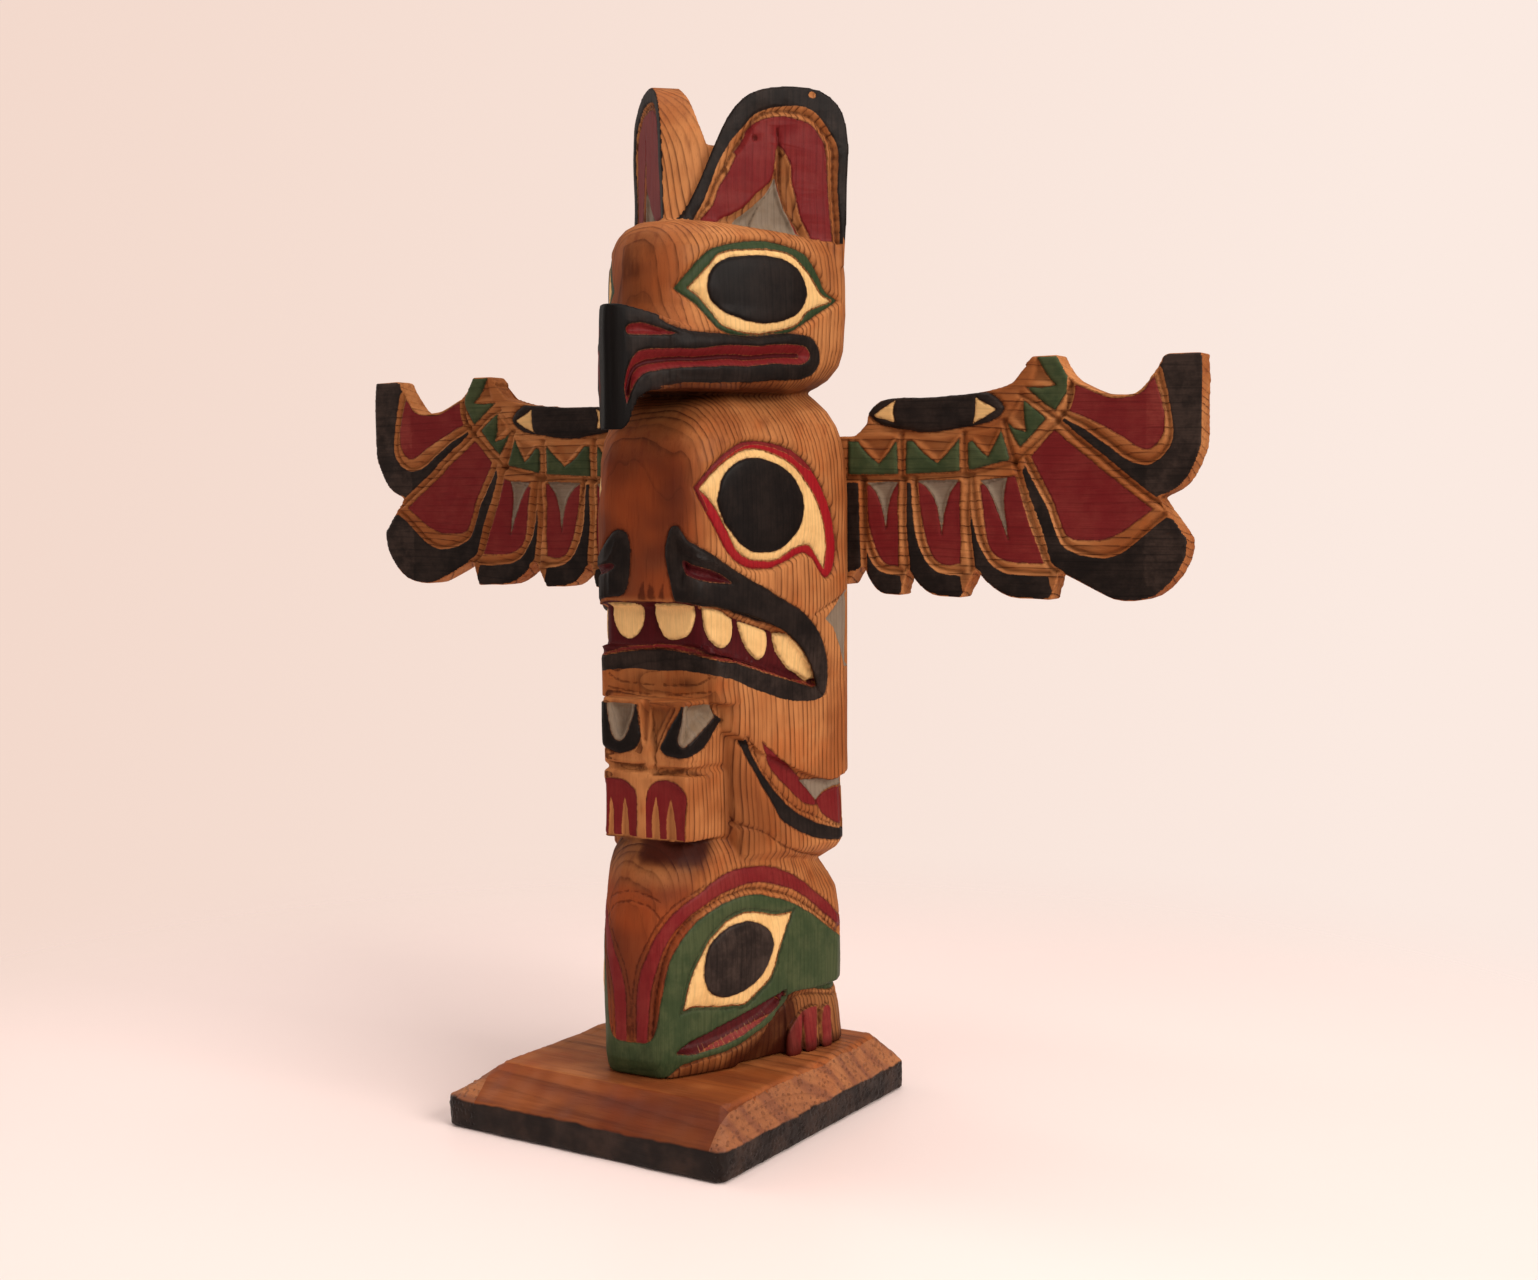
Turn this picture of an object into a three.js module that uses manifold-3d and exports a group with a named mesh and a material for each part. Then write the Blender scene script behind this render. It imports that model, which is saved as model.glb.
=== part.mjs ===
// A small carved totem pole: one block of cedar with a thunderbird's head, a bear's head with
// raised paws and a frog's head one above the other, a board that is both wings, glued across
// the flat back of the pole, and a bevelled base board.
// Millimetres, +Z up. The origin is the middle of the underside of the base, the figures face -Y.

import * as THREE from 'three';
import { mergeVertices } from 'three/addons/utils/BufferGeometryUtils.js';
import Module from 'manifold-3d';

const wasm = await Module();
wasm.setup();

// Driving dimensions
const CLEARANCE = 0.3; // glue line between the pieces
const SPARE = 6; // how far a cutting prism runs on past the wood

const BASE_HALF_WIDTH = 50.5;
const BASE_HALF_DEPTH = 53.5;
const BASE_EDGE_HEIGHT = 9; // upright edge, below the bevel
const BASE_THICKNESS = 19.3;
const BASE_FLAT = { left: -36, right: 45.2, front: -43, back: 42.5 }; // the bevels differ in width
const BASE_CORNER = 1.8;
const BASE_X = -3.2;
const BASE_TURN = THREE.MathUtils.degToRad(-2.9); // the board sits slightly askew under the pole

const POLE_X = 2.5; // the pole and its wings do not stand quite in the middle of the base
const POLE_Y = 1.4;
const WINGS_Y = POLE_Y;
const POLE_FOOT = BASE_THICKNESS + CLEARANCE;
const BACK_Y = 30.9; // flat back of the pole
const BACK_HALF = 36; // half width of that flat
const WIDEST_HALF = 38; // the pole is widest just before its back
const WIDEST_Y = 25;
const TIP_HALF = 4.9; // the blank narrows to this at the beak
const TIP_Y = -46.7;
const FLANK_RADIUS = 176; // each flank is one long shallow arc

const FROG_TOP = 91;
const PAWS_BOTTOM = 89.3;
const CHIN = 130;
const NECK = 221.5;
const BROW = 246; // top of the beak
const HEAD_TOP = 272;
const HOOK = 209.5; // lowest point of the beak

const EAR_FOOT = new THREE.Vector2(3.45, -13.6); // front edge of an ear, seen from above
const EAR_REAR = new THREE.Vector2(38, 24.8);
const EAR_HIGHEST = 315.4;
const EAR_THIN = 7; // thickness at the tip
const EAR_THICK = 20; // and where it grows out of the head
const EAR_LENGTH = 54; // front edge to back edge

const WING_FRONT_Y = BACK_Y + CLEARANCE;
const WING_THICKNESS = 8;
const WING_ROOT_TOP = 209.5;
const WING_ROOT_BOTTOM = 163;

const WOOD = new THREE.MeshStandardMaterial({ color: 0xb5713a, roughness: 0.5, metalness: 0 });
const BASE_WOOD = new THREE.MeshStandardMaterial({ color: 0xa5623a, roughness: 0.5, metalness: 0 });

// Solids and their geometry

function toSolid(geometry) {
  const bare = geometry.clone();
  bare.deleteAttribute('normal');
  bare.deleteAttribute('uv');
  const merged = mergeVertices(bare, 1e-4);
  return new wasm.Manifold(new wasm.Mesh({
    numProp: 3,
    vertProperties: new Float32Array(merged.attributes.position.array),
    triVerts: new Uint32Array(merged.index.array),
  }));
}

function toGeometry(solid) {
  const mesh = solid.getMesh();
  const geometry = new THREE.BufferGeometry();
  geometry.setAttribute('position', new THREE.BufferAttribute(mesh.vertProperties, 3));
  geometry.setIndex(new THREE.BufferAttribute(mesh.triVerts, 1));
  geometry.computeVertexNormals();
  return geometry;
}

// A closed skin over rings of equal point counts, each a list of Vector3 counterclockwise from above.
function loftGeometry(rings) {
  const count = rings[0].length;
  const points = rings.flat();
  const faces = [];
  for (let level = 0; level < rings.length - 1; level++) {
    for (let i = 0; i < count; i++) {
      const a = level * count + i;
      const b = level * count + ((i + 1) % count);
      faces.push(a, b, b + count, a, b + count, a + count);
    }
  }
  for (const [level, up] of [[0, false], [rings.length - 1, true]]) {
    const ring = rings[level];
    const middle = ring.reduce((sum, p) => sum.add(p), new THREE.Vector3()).divideScalar(count);
    const hub = points.push(middle) - 1;
    for (let i = 0; i < count; i++) {
      const a = level * count + i;
      const b = level * count + ((i + 1) % count);
      faces.push(...(up ? [a, b, hub] : [b, a, hub]));
    }
  }
  const geometry = new THREE.BufferGeometry();
  const numbers = points.flatMap((p) => p.toArray());
  geometry.setAttribute('position', new THREE.Float32BufferAttribute(numbers, 3));
  geometry.setIndex(faces);
  return geometry;
}

// A prism whose outline is drawn in a plane and pushed along the plane's normal from near to far.
function prism(outline, across, upward, near, far, origin = new THREE.Vector3()) {
  const shape = outline instanceof THREE.Shape ? outline : new THREE.Shape(outline);
  const depth = far - near;
  const geometry = new THREE.ExtrudeGeometry(shape, { depth, bevelEnabled: false, curveSegments: 10 });
  const normal = new THREE.Vector3().crossVectors(across, upward);
  const place = new THREE.Matrix4().makeBasis(across, upward, normal);
  place.setPosition(origin.clone().addScaledVector(normal, near));
  return geometry.applyMatrix4(place);
}

const X = new THREE.Vector3(1, 0, 0);
const Y = new THREE.Vector3(0, 1, 0);
const Z = new THREE.Vector3(0, 0, 1);

// Seen from the side: pairs of depth (y) and height (z), cut or kept right across the pole.
const fromSide = (pairs, near = -60, far = 60) => toSolid(prism(points2(pairs), Y, Z, near, far));

// Seen from the front: pairs of x and z. The normal X cross Z points forward, along -Y.
const fromFront = (pairs, front, back) => toSolid(prism(points2(pairs), X, Z, -back, -front));

function points2(pairs) {
  return pairs.map(([a, b]) => new THREE.Vector2(a, b));
}

function smooth(pairs, steps) {
  const curve = new THREE.SplineCurve(points2(pairs));
  return curve.getPoints(steps).map((p) => [p.x, p.y]);
}

function mirrored(geometry) {
  const flipped = geometry.clone().applyMatrix4(new THREE.Matrix4().makeScale(-1, 1, 1));
  const merged = flipped.index ? flipped : mergeVertices(flipped, 1e-4);
  const index = Array.from(merged.index.array);
  for (let i = 0; i < index.length; i += 3) [index[i], index[i + 1]] = [index[i + 1], index[i]];
  merged.setIndex(index);
  return merged;
}

// The blank: half its width at a depth y, on the arc from the widest point to the beak's tip.
const flankCentre = (() => {
  const rear = new THREE.Vector2(WIDEST_HALF, WIDEST_Y);
  const tip = new THREE.Vector2(TIP_HALF, TIP_Y);
  const chord = rear.clone().sub(tip);
  const reach = Math.sqrt(FLANK_RADIUS ** 2 - chord.lengthSq() / 4);
  const inward = new THREE.Vector2(-chord.y, chord.x).normalize();
  return rear.add(tip).multiplyScalar(0.5).addScaledVector(inward, reach);
})();

function flank(y) {
  return flankCentre.x + Math.sqrt(FLANK_RADIUS ** 2 - (y - flankCentre.y) ** 2);
}

// One level of the pole: a flat front cut across the blank at `front`, its edges rounded over
// `corner`, both flanks set in by `inset`, and by up to `nose` more towards the front and `rear`
// more towards the back.
const NOSE_FROM = 5;
const NOSE_REACH = 37;
const REAR_FROM = -5;
const REAR_REACH = 30;

function level(z, front, inset = 0, corner = 4, nose = 0, rear = 0) {
  const width = (y) => {
    const ahead = Math.max(0, (NOSE_FROM - y) / NOSE_REACH);
    const behind = Math.max(0, (y - REAR_FROM) / REAR_REACH);
    return flank(y) - inset - nose * ahead - rear * behind ** 2;
  };
  const half = [];
  const edge = Math.max(width(front), 2);
  const turn = Math.min(corner, edge * 0.8);
  const start = new THREE.Vector2(edge - turn, front);
  const end = new THREE.Vector2(Math.max(width(front + corner), 2.5), front + corner);
  const round = new THREE.QuadraticBezierCurve(start, new THREE.Vector2(edge, front), end);
  half.push(new THREE.Vector2(start.x / 2, front), ...round.getPoints(4));
  const steps = 9;
  for (let i = 1; i <= steps; i++) {
    const y = end.y + ((WIDEST_Y - end.y) * i) / steps;
    half.push(new THREE.Vector2(width(y), y));
  }
  half.push(new THREE.Vector2(width(WIDEST_Y) - WIDEST_HALF + BACK_HALF, BACK_Y));
  const right = half.map((p) => new THREE.Vector3(p.x, p.y, z));
  const left = half.map((p) => new THREE.Vector3(-p.x, p.y, z)).reverse();
  return [...right, ...left];
}

function body(levels, deeper = 0) {
  const rings = levels.map(([z, front, inset, ...rest]) => {
    return level(z, front + deeper, inset + deeper, ...rest);
  });
  return toSolid(loftGeometry(rings));
}

// Take `depth` off a figure's surface inside an outline seen from the side.
function lower(solid, levels, pairs, depth) {
  return solid.subtract(fromSide(pairs).subtract(body(levels, depth)));
}

// Figures, from the bottom up. Each level is [height, front, inset, corner, nose, rear].

const FROG = [
  [POLE_FOOT, -36, 2.6, 3],
  [25, -38.4, 1.4, 4],
  [31, -39, 1.2, 5, 0, 1.4],
  [56, -39, 1, 6, 0, 1.6],
  [62, -38.9, 1.3, 6, 0, 1.9],
  [68, -38.6, 1.6, 7, 0, 2.8],
  [72, -38.1, 2, 7, 0, 5],
  [76.5, -37.2, 2.6, 8, 0, 8],
  [80.5, -36, 3.4, 8, 0, 11],
  [84.5, -34, 4.8, 8, 0, 14],
  [88, -31.5, 7, 8, 0, 16],
  [FROG_TOP, -28.5, 10, 8, 0, 18],
];

const FROG_JAW = [
  ...smooth([[-36, 10], [-20, 16], [-10, 24.5], [0, 37.6]], 8),
  [1.5, 38.6],
  [45, 38.6],
  [45, 10],
];

const JAW_DEPTH = 3.2;

const FOOT = [
  [POLE_FOOT, -30, 2, 2],
  [30, -30, 3.2, 2],
  [36, -30, 4.6, 2],
  [39, -30, 7, 2],
];

const FOOT_SIDE = [[4, 19], [4, 45], [45, 45], [45, 19]];

function frog() {
  const head = lower(body(FROG), FROG, FROG_JAW, JAW_DEPTH);
  return head.add(body(FOOT).intersect(fromSide(FOOT_SIDE)));
}

const BEAR = [
  [76, -10, 9, 4],
  [81.4, -14, 0.8, 4],
  [83.6, -15, -0.7, 4],
  [92, -16, -0.6, 4],
  [101, -17, 0, 4],
  [CHIN - 0.5, -18, 0, 4],
  [CHIN, -22.3, 0, 2],
  [145, -23, 0, 2],
  [147, -28, 0, 3],
  [158.5, -28.5, 0, 3],
  [160, -30.3, 0, 4],
  [190, -30.3, 0, 5],
  [201, -29.8, 0.6, 6],
  [207, -28.4, 1.8, 7],
  [212, -26, 3.8, 8],
  [216.5, -22, 7, 8],
  [220, -16, 11.2, 7],
  [NECK + 1.5, -8, 15, 6],
];

// Everything below the bear's cheeks: its thighs, cut back from the cheek line.
const THIGHS = [
  ...smooth([[-24, 129.6], [-17, 121], [-8, 114.2], [1, 109.7], [11, 105.3], [19.4, 102.2]], 10),
  [25, 104.4],
  [45, 106],
  [45, 70],
  [-60, 70],
  [-60, 129.6],
];

const MOUTH = [
  [-60, 158.6],
  ...smooth([[-23, 158], [-10, 155], [0, 149.6], [8, 142.4], [13.2, 134.2]], 8),
  ...smooth([[11.4, 132.4], [0, 137.4], [-12, 142.6], [-23, 146]], 6),
  [-60, 147],
];

const THIGHS_DEPTH = 2.4;
const MOUTH_DEPTH = 2.2;

function bear() {
  const trunk = lower(body(BEAR), BEAR, THIGHS, THIGHS_DEPTH);
  return lower(trunk, BEAR, MOUTH, MOUTH_DEPTH);
}

// Two paws held side by side under the chin, fingers down. Each level is [height, half width].
const PAWS = [
  [PAWS_BOTTOM, 14.7],
  [PAWS_BOTTOM + 1, 15],
  [109, 15],
  [110.2, 13.4],
  [111.5, 14.8],
  [CHIN + 1, 15],
];
const PAWS_MIDDLE_Y = -16;
const PAWS_REAR_Y = -12;
const PAWS_EDGE = 1.2; // chamfer along the outer fingers
const PAWS_SPLAY = 4; // how much wider the pair is where it leaves the body

const PARTING = [[-1.6, CHIN + 2], [0, 108], [1.6, CHIN + 2]];
const PARTING_DEPTH = [-40, -29];

function paws() {
  const rings = PAWS.map(([z, half]) => {
    const front = PAWS_MIDDLE_Y - half;
    const rear = half + PAWS_SPLAY;
    const right = [[half - PAWS_EDGE, front], [half, front + PAWS_EDGE], [rear, PAWS_REAR_Y]];
    const left = right.map(([x, y]) => [-x, y]).reverse();
    return [...right, ...left].map(([x, y]) => new THREE.Vector3(x, y, z));
  });
  return toSolid(loftGeometry(rings)).subtract(fromFront(PARTING, ...PARTING_DEPTH));
}

const BEAK = [
  [HOOK, -48.4, 0.9, 4],
  [BROW, -48.2, 1.6, 4],
];

// The beak stands proud of the cheeks as far as this, seen from the side.
const BEAK_SIDE = [
  [-60, HOOK - 1],
  [-60, BROW - 0.8],
  [-46, BROW - 0.8],
  [-38, 242.8],
  [-29, 239.4],
  [-20, 237.4],
  [-14, 237],
  [-14, HOOK - 1],
];

const BIRD = [
  [NECK, -36, 6.5, 6, 0, 13],
  [NECK + 0.9, -36, 3, 6, 0, 12],
  [NECK + 2.6, -36, 1.6, 6, 0, 9],
  [NECK + 4.6, -36, 0.9, 6, 0, 6],
  [NECK + 6.6, -36, 0.8, 6, 0, 4.2],
  [NECK + 8.8, -36, 0.8, 6, 0, 2.2],
  [NECK + 12, -36, 0.7, 6, 0, 1.2],
  [235, -36, 0.6, 7, 0, 0.8],
  [241, -34.5, 0.2, 9, 3, 0.8],
  [BROW, -33, 0, 9, 5.4, 0.6],
  [258, -32.6, 0.2, 10, 6, 0.6],
  [263, -31.6, 0.9, 10, 6, 0.6],
  [266.5, -29.6, 2.6, 10, 6, 0.6],
  [269, -26.6, 5.4, 9, 6, 0.6],
  [271, -22, 10, 8, 5, 0.6],
  [HEAD_TOP, -15, 15, 8, 4, 0.6],
];

// What is left free under the jaw, behind the hook of the beak.
const THROAT = [
  [-47, HOOK - 5],
  ...smooth([[-46.8, HOOK - 1], [-44.8, 211.6], [-43.6, 215.4], [-42, 219], [-38.6, 220.9],
    [-28, NECK]], 10),
  [45, NECK],
  [45, HOOK - 5],
];

function bird() {
  const beak = body(BEAK).intersect(fromSide(BEAK_SIDE)).subtract(fromSide(THROAT));
  return body(BIRD).add(beak);
}

// Ears: upright slabs toed in towards the beak, each drawn in its own plane from the front edge
// back. They are not a pair: the one on the viewer's left is fuller in front.
const EAR_ROOT = HEAD_TOP - 12;

const EAR_REAR_EDGE = [[52.6, 280], [51.9, EAR_ROOT]];

const RIGHT_EAR = [
  [-1, EAR_ROOT],
  [-0.2, HEAD_TOP],
  ...smooth([[2.3, 277.3], [5.6, 284], [12.4, 299.3], [16.7, 306.2], [21.8, 310.5], [28.3, 312.5],
    [36, 313.2], [44, 312.4], [49.6, 308.8], [52.4, 303.4], [53.2, 296]], 20),
  ...EAR_REAR_EDGE,
];

const LEFT_EAR = [
  [-3.6, EAR_ROOT],
  [-3.2, HEAD_TOP],
  ...smooth([[-1.4, 284], [0.6, 295], [3.4, 303.6], [8.2, 310.2], [14, 313.6], [20.6, 315.1],
    [31, EAR_HIGHEST], [40, 313.8], [48.4, 310], [51.8, 304.6], [52.8, 297]], 20),
  ...EAR_REAR_EDGE,
];

function ear(outline) {
  const along = EAR_REAR.clone().sub(EAR_FOOT).normalize();
  const across = new THREE.Vector3(along.x, along.y, 0);
  const outward = new THREE.Vector3().crossVectors(across, Z);
  const origin = new THREE.Vector3(EAR_FOOT.x, EAR_FOOT.y, 0);
  const slab = toSolid(prism(points2(outline), across, Z, -EAR_THICK - SPARE, 0, origin));
  // the inner face leans, so that the ear thins towards its tip
  const profile = [[-EAR_THICK, EAR_ROOT], [-EAR_THICK, HEAD_TOP], [-EAR_THIN, EAR_HIGHEST + SPARE],
    [SPARE, EAR_HIGHEST + SPARE], [SPARE, EAR_ROOT]];
  const taper = prism(points2(profile), outward, Z, -EAR_LENGTH - SPARE, SPARE, origin);
  return slab.intersect(toSolid(taper));
}

function ears() {
  const right = ear(RIGHT_EAR);
  const left = toSolid(mirrored(toGeometry(ear(LEFT_EAR))));
  const top = EAR_HIGHEST + SPARE;
  const ahead = fromSide([[-60, EAR_ROOT], [-60, top], [BACK_Y, top], [BACK_Y, EAR_ROOT]]);
  return right.add(left).intersect(ahead);
}

function pole() {
  return toGeometry(frog().add(bear()).add(paws()).add(bird()).add(ears()));
}

// The right half of the wing board, from the root over the shoulder and the tip and back under
// the feathers. Heights and distances from the middle of the pole.
function wingOutline() {
  const top = [
    [0, WING_ROOT_TOP], [40, WING_ROOT_TOP], [44, 213], [44.6, 216.4],
    ...smooth([[47.5, 219.2], [52, 220.9], [66, 221], [80, 221.8], [87, 222.8], [92.6, 224.6]], 8),
    [95.6, 228], [99, 231.4], [106.9, 231.5],
    ...smooth([[108.4, 228.6], [111.4, 224.6], [116, 222.2], [121, 220.1], [127, 219.5], [131, 219.8],
      [133.8, 222.4]], 10),
    [137.6, 227.6], [138.8, 230.2], [140.4, 230.9], [150, 230.7],
  ];
  const firstFeather = smooth([[150.5, 225], [150.5, 208], [149.6, 202.2], [146.6, 195.8], [143, 192.2],
    [138, 189.9]], 10);
  const secondFeather = [
    [143.2, 182.8], [146.7, 177.8],
    ...smooth([[146.4, 173.6], [144.4, 168.8], [140.6, 164.2], [136.4, 161.2], [131, 160], [125.4, 160.1],
      [120.8, 162], [114.6, 164.9], [107.8, 168.3]], 14),
  ];
  const shortFeathers = [
    featherEnd(105.4, 81.2, 159.8, 168.7),
    featherEnd(76.7, 58.7, 159.8, 168.6),
    featherEnd(56.4, 43.9, 160, 169),
  ].flat();
  return [...top, ...firstFeather, ...secondFeather, ...shortFeathers, [40.8, 167], [38.4, WING_ROOT_BOTTOM],
    [0, WING_ROOT_BOTTOM]];
}

// A short feather's lower end: a square outer corner and a long rounded inner one.
function featherEnd(outer, inner, bottom, notch) {
  const width = outer - inner;
  const curve = new THREE.CubicBezierCurve(
    new THREE.Vector2(outer - width * 0.42, bottom + 0.2),
    new THREE.Vector2(outer - width * 0.66, bottom + 0.4),
    new THREE.Vector2(inner + width * 0.12, notch - 4.2),
    new THREE.Vector2(inner, notch),
  );
  return [[outer, bottom], ...curve.getPoints(6).map((p) => [p.x, p.y])];
}

function wings() {
  const right = wingOutline();
  const left = right.slice(1, -1).map(([x, z]) => [-x, z]).reverse();
  return toGeometry(fromFront([...right, ...left], WING_FRONT_Y, WING_FRONT_Y + WING_THICKNESS));
}

// The base board: upright edges, then a bevel all round up to the flat on which the pole stands.
function base() {
  const ring = (z, left, right, front, back, cut = BASE_CORNER) => [[right, front + cut], [right, back - cut],
    [right - cut, back], [left + cut, back], [left, back - cut], [left, front + cut], [left + cut, front],
    [right - cut, front]].map(([x, y]) => new THREE.Vector3(x, y, z));
  const edge = (z, less) => ring(z, less - BASE_HALF_WIDTH, BASE_HALF_WIDTH - less, less - BASE_HALF_DEPTH,
    BASE_HALF_DEPTH - less);
  const { left, right, front, back } = BASE_FLAT;
  return loftGeometry([edge(0, 0.8), edge(0.8, 0), edge(BASE_EDGE_HEIGHT, 0),
    ring(BASE_THICKNESS, left, right, front, back)]);
}

function piece(name, geometry, material) {
  const mesh = new THREE.Mesh(geometry, material);
  mesh.name = name;
  return mesh;
}

const totem = new THREE.Group();

const board = piece('base', base(), BASE_WOOD);
board.position.x = BASE_X;
board.rotation.z = BASE_TURN;

const column = piece('pole', pole(), WOOD);
column.position.set(POLE_X, POLE_Y, 0);

const spread = piece('wings', wings(), WOOD);
spread.position.y = WINGS_Y;

totem.add(board, column, spread);

export default totem;
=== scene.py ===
import math

import bpy
import numpy as np
from mathutils import Matrix, Vector


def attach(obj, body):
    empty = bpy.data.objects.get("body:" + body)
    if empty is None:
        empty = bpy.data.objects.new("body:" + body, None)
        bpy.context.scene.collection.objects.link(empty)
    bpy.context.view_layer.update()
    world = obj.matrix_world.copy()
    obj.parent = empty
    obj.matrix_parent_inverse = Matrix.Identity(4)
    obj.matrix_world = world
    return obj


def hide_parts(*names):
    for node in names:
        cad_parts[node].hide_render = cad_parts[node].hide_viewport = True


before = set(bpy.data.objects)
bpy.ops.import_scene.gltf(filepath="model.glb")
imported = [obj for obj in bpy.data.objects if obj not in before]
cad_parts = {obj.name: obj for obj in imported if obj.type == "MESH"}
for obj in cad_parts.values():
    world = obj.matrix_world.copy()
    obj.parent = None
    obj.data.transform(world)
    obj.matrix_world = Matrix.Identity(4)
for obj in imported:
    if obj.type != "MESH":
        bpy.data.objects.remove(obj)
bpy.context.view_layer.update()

# The carved totem pole with wings: one cedar block, one cedar board behind it and a
# bevelled base. Lengths are millimetres, except in the finishes and the room.

MM = 0.001
FAR = 6.0  # how far from a painted field its edge is still felt
POLE_X, POLE_Y = 2.5, 1.4  # middle of the pole
POLE_BACK = 30.9
PROW, ROUND_SIDE = -50, 0.77  # the pattern runs back from the prow round the pole's side
FROG_TOP = 92
PAWS_FOOT, PAWS_TOP = 89.6, 129.8
THIGH_TOP = 131
BODY_TOP = 272
EAR_FOOT = (3.45, -13.6)
EAR_TURN = (0.669, 0.743)  # along the face of the right ear, seen from above
BASE_MIDDLE = -3.2
BASE_TURN = math.radians(-2.9)
BLACK_EDGE = 9.0  # top of the black band round the base
PAINTS = ("black", "red", "maroon", "scarlet", "green", "cream", "grey")

# how fine each piece's skin is, and the most triangles that it keeps
POLE_SKIN, POLE_FACES = ((0.55, 196000))
WINGS_SKIN, WINGS_FACES = ((0.5, 190000))
BASE_SKIN, BASE_FACES = ((0.7, 120000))


# ---- drawing on the block --------------------------------------------------

def smooth_line(points, closed=False, steps=5):
    """A smooth line through points. A point with a third number is a sharp corner."""
    at = np.array([p[:2] for p in points], float)
    sharp = [len(p) > 2 for p in points]
    count = len(at)
    line = []
    for i in range(count if closed else count - 1):
        j = (i + 1) % count
        a, b = at[i], at[j]
        span = np.linalg.norm(b - a)
        start = end = b - a
        if not sharp[i] and (closed or i > 0):
            before = at[i - 1]
            start = (b - before) * span / (span + np.linalg.norm(a - before))
        if not sharp[j] and (closed or i < count - 2):
            after = at[(i + 2) % count]
            end = (after - a) * span / (span + np.linalg.norm(after - b))
        for k in range(steps):
            s = k / steps
            line.append(
                a * (2 * s**3 - 3 * s**2 + 1)
                + start * (s**3 - 2 * s**2 + s)
                + b * (3 * s**2 - 2 * s**3)
                + end * (s**3 - s**2)
            )
    if not closed:
        line.append(at[-1])
    return np.array(line)


def ease(x):
    x = np.clip(x, 0, 1)
    return x * x * (3 - 2 * x)


def unsteady(x, y, size, reach, seed):
    """A slow wander of up to about reach, as a hand-held knife leaves it."""
    rng = np.random.default_rng(seed)
    total = np.zeros(len(x))
    for k in range(6):
        turn = rng.uniform(0, 2 * math.pi)
        wave = 2 * math.pi / (size * rng.uniform(0.5, 1.8))
        total += np.sin((x * math.cos(turn) + y * math.sin(turn)) * wave + rng.uniform(0, 6.3))
    return total * reach / 3


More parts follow.
